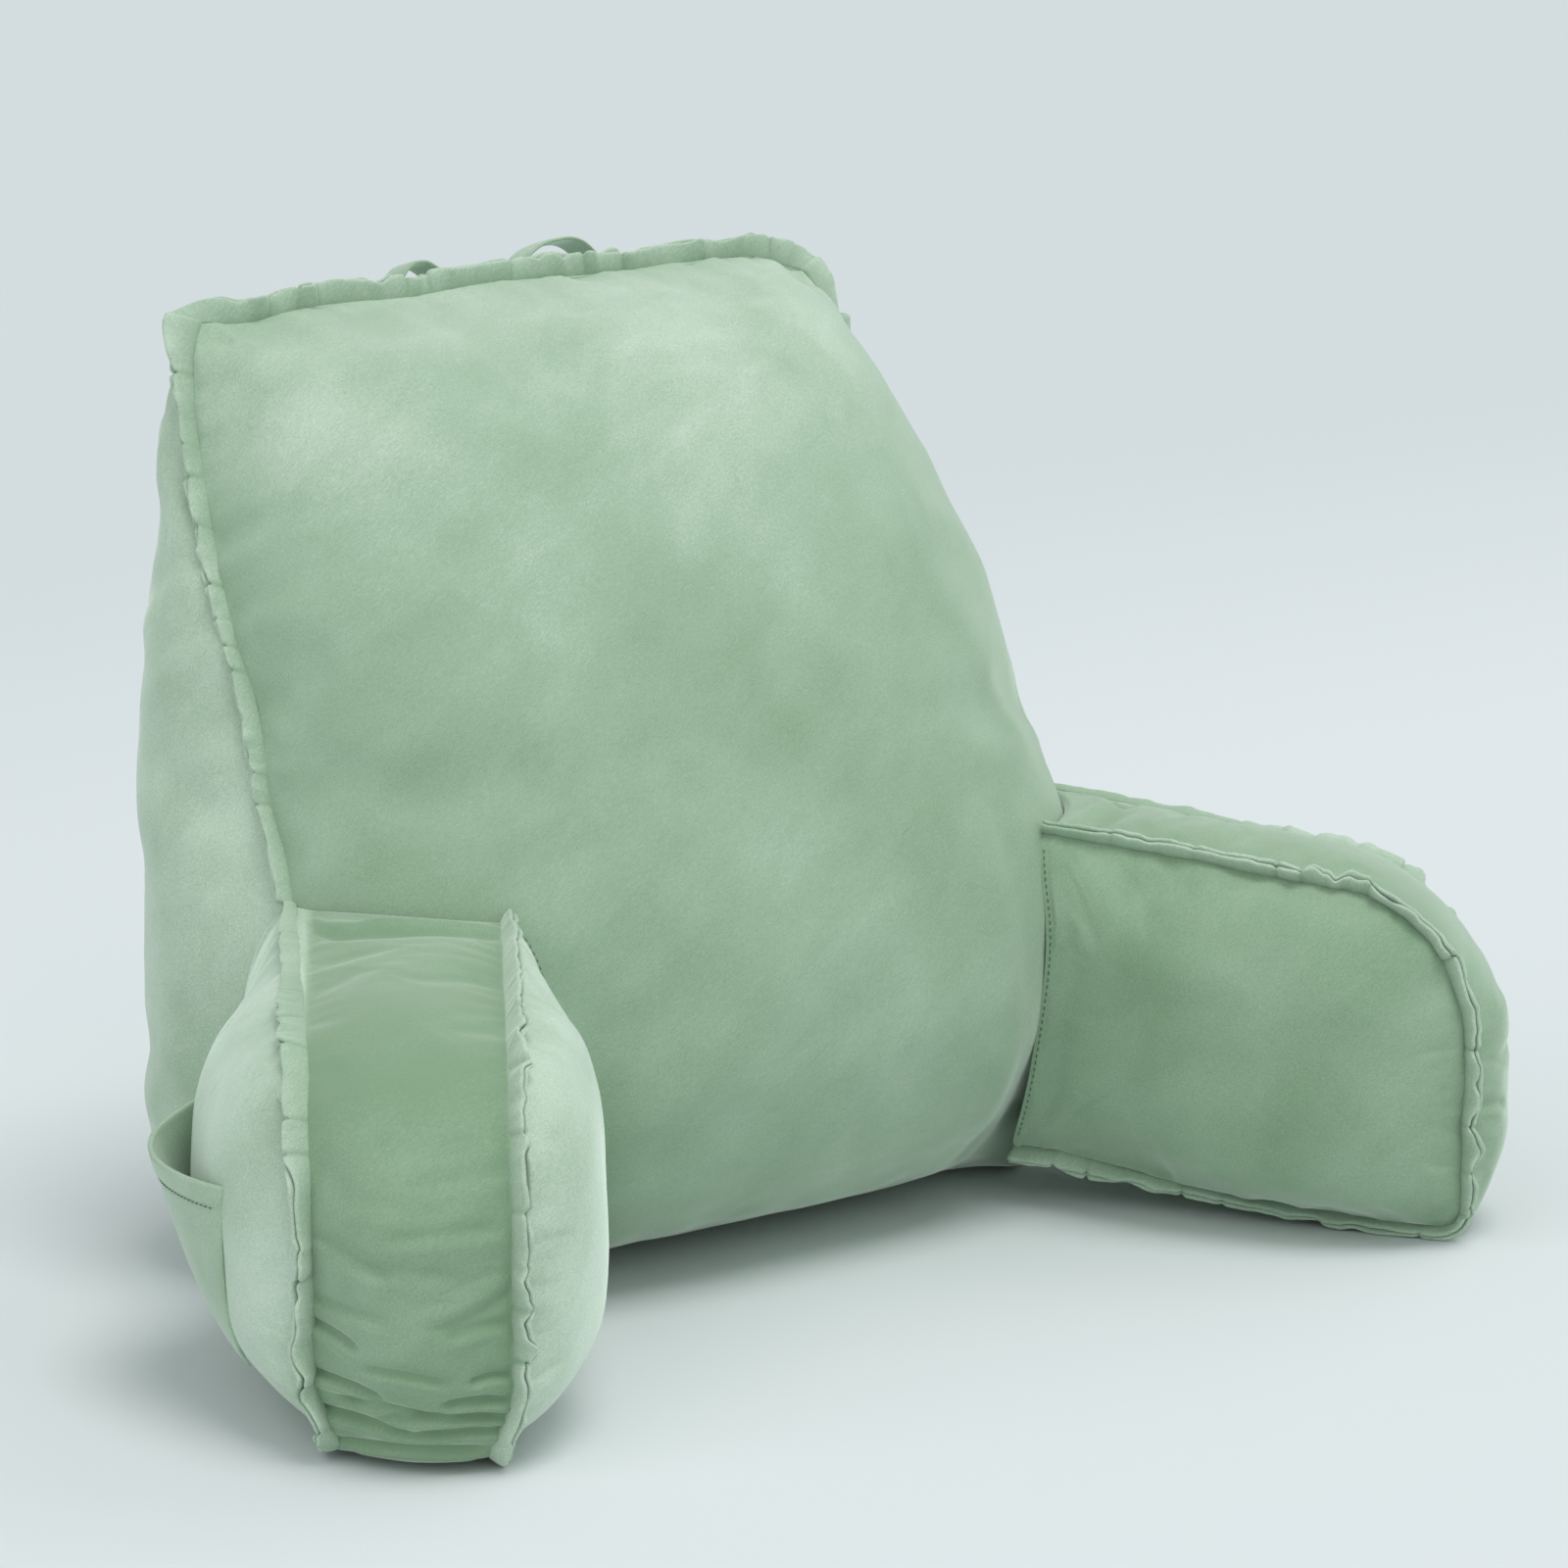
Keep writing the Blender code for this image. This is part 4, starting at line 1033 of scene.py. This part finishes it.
def make_pocket():
    """The pocket's two faces over the panel, thicker in its hem, joined round its edge."""
    u, v = np.meshgrid(np.linspace(0, 1, POCKET_ACROSS), np.linspace(0, 1, POCKET_UP))
    surface, gap = over_panel(u, v)
    edge = np.minimum(np.minimum(u, 1 - u) * 6, v * 5).clip(0, 1)
    into_hem = v - 1 + HEM_SHARE
    thick = POCKET_THICKNESS * (0.7 + 0.3 * edge) + 0.0013 * ease(into_hem / 0.03)
    thick = thick - 0.0007 * bell(into_hem, 0.012) - 0.0005 * bell(v - 0.99, 0.01)
    inside = surface + gap[..., None] * PANEL_NORMAL
    outside = inside + thick[..., None] * PANEL_NORMAL
    rows, columns = u.shape
    lower, upper = np.arange(2 * rows * columns).reshape(2, rows, columns)
    strips = [(layer[j], layer[j + 1]) for layer in (lower, upper) for j in range(rows - 1)]
    strips += [(lower[j], upper[j]) for j in (0, -1)]
    strips += [(lower[:, j], upper[:, j]) for j in (0, -1)]
    quads = np.concatenate([np.stack([a[:-1], a[1:], b[1:], b[:-1]], axis=-1) for a, b in strips])
    points = np.concatenate([inside.reshape(-1, 3), outside.reshape(-1, 3)])
    return add_piece("pocket_patch", mirrored(points, -1), quads)


pocket = make_pocket()

# %% [markdown]
# ## The carry strap
#
# A band of folded velvet lies behind the top seam, sewn down at both ends. It is longer than its
# place, so it stands up in humps, two of which show over the ruffle.

# %% Make the strap
STRAP_WIDTH, STRAP_THICKNESS = 0.026, 0.003
STRAP_ENDS = (-0.095, 0.090)
STRAP_SEAT = (0.1438, 0.5461)
STRAP_RISE, STRAP_SLOPES = (0.20, 0.98), (60, 14)  # degrees below level: lying, and on a hump
Hump = namedtuple("Hump", "share lift")
STRAP_HUMPS = (
    Hump(0.00, 0.000),
    Hump(0.05, 0.008),
    Hump(0.11, 0.028),
    Hump(0.19, 0.034),
    Hump(0.28, 0.024),
    Hump(0.40, 0.014),
    Hump(0.54, 0.020),
    Hump(0.63, 0.035),
    Hump(0.73, 0.041),
    Hump(0.85, 0.037),
    Hump(0.94, 0.017),
    Hump(1.00, 0.000),
)


def make_strap():
    """A rounded flat section carried along the humped line, turned level where it stands up."""
    t = np.linspace(0, 1, 150)
    x = STRAP_ENDS[0] + (STRAP_ENDS[1] - STRAP_ENDS[0]) * t
    hump = through(*zip(*STRAP_HUMPS), t)
    y, z = (seat + rise * hump for seat, rise in zip(STRAP_SEAT, STRAP_RISE))
    centre = np.stack([x, y, z], axis=1)
    lying, standing = np.radians(STRAP_SLOPES)
    slope = lying + (standing - lying) * ease(hump / 0.030)
    width = np.stack([np.zeros_like(t), np.cos(slope), -np.sin(slope)], axis=1)
    up = unit(np.cross(width, unit(np.gradient(centre, axis=0))))
    angle = np.linspace(0, 2 * np.pi, 28, endpoint=False)
    w = STRAP_WIDTH / 2 * np.sign(np.cos(angle)) * np.abs(np.cos(angle)) ** 0.45
    h = STRAP_THICKNESS / 2 * np.sign(np.sin(angle)) * np.abs(np.sin(angle)) ** 0.7
    rows = centre[:, None] + w[None, :, None] * width[:, None] + h[None, :, None] * up[:, None]
    return add_piece("carry_strap", rows.reshape(-1, 3), closed_tube(len(t), len(angle)))


strap = make_strap()

# %% [markdown]
# ## Stitches
#
# Where the front panel meets an arm's inner panel, a line of machine stitches shows, each about
# 3 mm long. The pocket's hem is sewn in the same way. A stitch is a small spindle of thread, and
# all stitches of one line are joined into one mesh.

# %% Stitch lines
STITCH, STITCH_GAP, THREAD = 0.0027, 0.0018, 0.00045


def stitch_mesh(path, lift):
    """Spindles along a path: rings of six points, thick in their middle, each lifted by lift."""
    length = path_lengths(path)
    starts = np.arange(0.002, length[-1] - STITCH, STITCH + STITCH_GAP)
    share = np.linspace(0, 1, 6)
    at = starts[:, None] + STITCH * share
    rise = at_lengths(at, length, lift)
    centre = at_lengths(at, length, path)
    centre = centre + rise * (0.0004 * np.sin(np.pi * share) - 0.0001)[None, :, None]
    across = unit(np.cross(unit(centre[:, -1:] - centre[:, :1]), rise))
    angle = np.linspace(0, 2 * np.pi, 6, endpoint=False)
    radius = THREAD * (0.35 + 0.65 * np.sin(np.pi * share))[None, :, None, None]
    ring = np.cos(angle)[:, None] * across[:, :, None] + np.sin(angle)[:, None] * rise[:, :, None]
    points = centre[:, :, None] + radius * ring
    each, around = len(share) * len(angle), len(angle)
    faces = [f for k in range(len(starts)) for f in closed_tube(len(share), around, k * each)]
    return points.reshape(-1, 3), faces


def junction_path(across, low, high):
    """The line on which an arm's panel meets the backrest, a little out along the arm."""
    height = np.linspace(high, low, 160)
    start = root_start(height, np.full(height.shape, float(across)))
    return panel_point(start + 0.0022, height, across)


def pocket_line(v, start, end):
    """A line across the pocket's outside at a share of its height."""
    surface, gap = over_panel(np.linspace(start, end, 120), v)
    return surface + (gap + POCKET_THICKNESS)[:, None] * PANEL_NORMAL


stitches = []
OUT_OF_PANEL = -0.62 * PANEL_NORMAL + 0.78 * ARM_AXIS
for arm_name, arm_side in ARM_SIDES.items():
    path = junction_path(0, 0.045, 0.232) + 0.0012 * OUT_OF_PANEL
    points, faces = stitch_mesh(path, np.tile(OUT_OF_PANEL, (len(path), 1)))
    stitches.append(add_piece(f"stitches_{arm_name}_arm", mirrored(points, arm_side), faces))
hem = pocket_line(1 - HEM_SHARE, 0.02, 0.98)
points, faces = stitch_mesh(hem, np.tile(PANEL_NORMAL, (len(hem), 1)))
stitches.append(add_piece("stitches_pocket", mirrored(points, -1), faces))
print("stitches:", [len(obj.data.polygons) for obj in stitches])

# %% [markdown]
# ## Velvet
#
# Velvet is a short pile. Where it has been brushed one way it looks darker, the other way
# lighter, in soft patches and streaks. The pile also catches light at the edge of a form, which
# is what the shader's sheen is for. The patches and the fibres are one node group, used by all
# cloth here with different values.

# %% Helpers for node trees
def wire(tree, node, inputs):
    """Fill a node's inputs by name or number: a socket is linked, anything else is a value."""
    for name, value in inputs.items():
        if isinstance(value, bpy.types.NodeSocket):
            tree.links.new(value, node.inputs[name])
        else:
            node.inputs[name].default_value = value


def add_node(tree, kind, inputs, **settings):
    """A new node's outputs, once its settings are made and its inputs filled."""
    node = tree.nodes.new(f"ShaderNode{kind}")
    for name, value in settings.items():
        setattr(node, name, value)
    wire(tree, node, inputs)
    return node.outputs


def colour_ramp(tree, share, *colours):
    """The colour at a share of the way through colours at even steps."""
    ramp = tree.nodes.new("ShaderNodeValToRGB")
    stops = ramp.color_ramp.elements
    for k in range(1, len(colours) - 1):
        stops.new(k / (len(colours) - 1))
    for stop, colour in zip(stops, colours):
        stop.color = (*colour, 1.0)
    wire(tree, ramp, {"Fac": share})
    return ramp.outputs["Color"]


def new_material(name):
    """A material, its node tree, its shader, and the socket of the place on the object."""
    material = bpy.data.materials.new(name)
    material.use_nodes = True
    tree = material.node_tree
    place = tree.nodes.new("ShaderNodeTexCoord").outputs["Object"]
    return material, tree, tree.nodes["Principled BSDF"], place


# %% The nap as a node group
def nap_group():
    """Outputs Shade, the brushed patches from 0 to 1, and Pile, the height of the fibres."""
    group = bpy.data.node_groups.new("Brushed nap", "ShaderNodeTree")
    face = group.interface
    face.new_socket("Vector", in_out="INPUT", socket_type="NodeSocketVector")
    for name, value in (("Patches", 7.0), ("Streaks", 22.0), ("Contrast", 1.0), ("Grain", 1.1)):
        socket = face.new_socket(name, in_out="INPUT", socket_type="NodeSocketFloat")
        socket.default_value = value
    face.new_socket("Shade", in_out="OUTPUT", socket_type="NodeSocketFloat")
    face.new_socket("Pile", in_out="OUTPUT", socket_type="NodeSocketFloat")
    given = group.nodes.new("NodeGroupInput").outputs

    def noise(vector, scale, detail, roughness=0.55, distortion=0.0):
        inputs = {"Vector": vector, "Scale": scale, "Detail": detail, "Roughness": roughness}
        return add_node(group, "TexNoise", {**inputs, "Distortion": distortion})["Fac"]

    def math_node(operation, a, b):
        return add_node(group, "Math", {0: a, 1: b}, operation=operation)[0]

    def blend(a, share_a, b, share_b):
        parts = [math_node("MULTIPLY", *pair) for pair in ((a, share_a), (b, share_b))]
        return math_node("ADD", *parts)

    plain = given["Vector"]
    inputs = {"Vector": plain, "Scale": (2.6, 1.0, 0.8), "Rotation": (0.0, -0.60, 0.0)}
    stretched = add_node(group, "Mapping", inputs, vector_type="TEXTURE")["Vector"]
    patches = noise(plain, given["Patches"], 3.0, 0.55, 0.5)
    streaks = noise(stretched, given["Streaks"], 4.0, 0.6, 0.3)
    clumps, fibres = noise(stretched, 700.0, 3.0), noise(plain, 1500.0, 2.0)
    broad = math_node("SUBTRACT", blend(patches, 0.60, streaks, 0.40), 0.5)
    broad = math_node("MULTIPLY", broad, given["Contrast"])
    fine = math_node("SUBTRACT", blend(clumps, 0.35, fibres, 0.65), 0.5)
    fine = math_node("MULTIPLY", fine, given["Grain"])
    shade = math_node("ADD", math_node("MULTIPLY", broad, 2.2), fine)
    shade, pile = math_node("ADD", shade, 0.5), blend(clumps, 0.6, fibres, 0.4)
    wire(group, group.nodes.new("NodeGroupOutput"), {"Shade": shade, "Pile": pile})
    return group


# %% Velvet materials
NAP = nap_group()
SHEEN_WEIGHT, SHEEN_ROUGHNESS = 1.0, 0.38
SHEEN_TINT = (0.86, 0.97, 0.87, 1.0)
LEAST_ROUGH, MOST_ROUGH, SHINE = 0.78, 0.95, 0.18
PILE_BUMP, PILE_HEIGHT = 0.55, 0.0007
SAGE = ((0.216, 0.338, 0.212), (0.350, 0.488, 0.353), (0.628, 0.748, 0.632))


def velvet(name, tone, contrast, turn):
    """Velvet of dark, plain and light greens, with a given contrast of its brushed patches."""
    material, tree, shader, place = new_material(name)
    inputs = {"Vector": place, "Rotation": (turn, 0.0, turn)}
    inputs = {"Vector": add_node(tree, "Mapping", inputs)["Vector"], "Contrast": contrast}
    nap = add_node(tree, "Group", inputs, node_tree=NAP)
    # The mesh's painted sheen and shade, with its random tone, is added to the brushed patches.
    painted_light_and_tone = add_node(tree, "Attribute", {}, attribute_name="nap")["Fac"]
    both = add_node(tree, "Math", {0: nap["Shade"], 1: painted_light_and_tone}, operation="ADD")[0]
    greens = ([tone * value for value in colour] for colour in SAGE)
    rough = {"Value": nap["Shade"], "To Min": LEAST_ROUGH, "To Max": MOST_ROUGH}
    bump = {"Strength": PILE_BUMP, "Distance": PILE_HEIGHT, "Height": nap["Pile"]}
    surface = {
        "Base Color": colour_ramp(tree, both, *greens),
        "Roughness": add_node(tree, "MapRange", rough)["Result"],
        "Normal": add_node(tree, "Bump", bump)["Normal"],
        "Specular IOR Level": SHINE,
        "Sheen Weight": SHEEN_WEIGHT,
        "Sheen Roughness": SHEEN_ROUGHNESS,
        "Sheen Tint": SHEEN_TINT,
    }
    wire(tree, shader, surface)
    return material


VELVETS = (  # tone, contrast and turn of the brushed patches
    ("velvet_backrest", 1.00, 0.45, 0.0),
    ("velvet_arm", 1.00, 0.42, 0.2),
    ("velvet_pocket", 1.02, 0.40, 0.4),
    ("velvet_strap", 1.00, 0.40, 0.3),
    ("velvet_ruffle", 0.98, 0.42, 0.5),
)
MATERIALS = {row[0]: velvet(*row) for row in VELVETS}
THREAD_GREENS = ((0.052, 0.105, 0.062), (0.095, 0.175, 0.108))


def sewing_thread():
    """A thread of a darker green, with a twist that shows as bump along it."""
    material, tree, shader, place = new_material("sewing_thread")
    inputs = {"Vector": place, "Scale": 900.0, "Distortion": 1.5}
    twist = add_node(tree, "TexWave", inputs)["Fac"]
    bump = add_node(tree, "Bump", {"Distance": 0.0001, "Height": twist})["Normal"]
    tone = colour_ramp(tree, twist, *THREAD_GREENS)
    wire(tree, shader, {"Base Color": tone, "Roughness": 0.6, "Normal": bump})
    return material


THREAD_MATERIAL = sewing_thread()

# %% [markdown]
# ## Dress the frame
#
# Each piece takes its material, rides on the pillow's one body and stands for its solid.

# %% Give out materials and places
def dress(piece, slot, *nodes):
    """Material, body and the solids that the piece stands for."""
    piece.data.materials.clear()
    piece.data.materials.append(MATERIALS[slot])
    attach(piece, BODY)
    if nodes:
        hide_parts(*nodes)


dress(backrest, "velvet_backrest", "backrest")
for arm_name, arm in arms.items():
    dress(arm, "velvet_arm", f"arm_{arm_name}")
for node, edge in ruffles.items():
    dress(edge, "velvet_ruffle", node)
dress(pocket, "velvet_pocket", "pocket")
dress(strap, "velvet_strap", "strap")
for line in stitches:
    line.data.materials.append(THREAD_MATERIAL)
    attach(line, BODY)

# %% [markdown]
# ## Floor and light
#
# The studio is one wide, pale floor. Soft light comes from all round, and more of it from above
# and behind on both sides, which catches the pile at the edges of each form. Sun lamps with a
# wide angle light the whole floor evenly, so that it has no dark rim.

# %% Floor
FLOOR_REACH = 60.0
# The paper is painted darker towards the back: painted shade, as if the light fell off with depth.
PAPER_NEAR, PAPER_FAR_PAINTED_SHADE = (0.693, 0.737, 0.748), (0.605, 0.652, 0.662)
PAPER_TURN = (0.4, 2.4)  # the paper goes from one tone to the other over these depths


def make_floor():
    """A level square of paper, far larger than the picture, with painted shade that makes it a
    little darker at the back.
    """
    corners = [(-1, -1, 0), (1, -1, 0), (1, 1, 0), (-1, 1, 0)]
    floor = add_piece("floor", FLOOR_REACH * np.array(corners), [range(4)])
    material, tree, shader, place = new_material("paper")
    near, far = PAPER_TURN
    y = add_node(tree, "SeparateXYZ", {"Vector": place})["Y"]
    inputs = {"Value": y, "From Min": near, "From Max": far}
    depth = add_node(tree, "MapRange", inputs, interpolation_type="SMOOTHSTEP")["Result"]
    tone = colour_ramp(tree, depth, PAPER_NEAR, PAPER_FAR_PAINTED_SHADE)
    wire(tree, shader, {"Base Color": tone, "Roughness": 0.9, "Specular IOR Level": 0.0})
    floor.data.materials.append(material)
    return floor


make_floor()


# %% Lights
def soft_sun(name, towards, spread, strength, colour):
    """A lamp at infinity that shines from one way, blurred over a wide angle."""
    data = bpy.data.lights.new(name, "SUN")
    data.angle, data.energy, data.color = math.radians(spread), strength, colour
    light = bpy.data.objects.new(name, data)
    x, y, z = towards
    light.rotation_euler = (math.atan2(math.hypot(x, y), z), 0, math.atan2(x, -y))
    light.location = (x, y, z)
    bpy.context.scene.collection.objects.link(light)


soft_sun("above", (0.08, -0.28, 1.0), 32, 1.22, (1.0, 0.995, 0.985))
soft_sun("left", (-1.0, -0.10, 0.70), 60, 0.55, (1.0, 0.995, 0.985))
soft_sun("right", (1.0, 0.00, 0.55), 60, 0.64, (0.985, 0.995, 1.0))
soft_sun("front", (-0.1, -1.0, 0.45), 50, 0.36, (1.0, 1.0, 1.0))
world = bpy.data.worlds.new("studio")
world.use_nodes = True
sky = {"Color": (0.93, 0.975, 1.0, 1.0), "Strength": 0.50}
wire(world.node_tree, world.node_tree.nodes["Background"], sky)
bpy.context.scene.world = world
bpy.context.scene.view_settings.view_transform = "Standard"
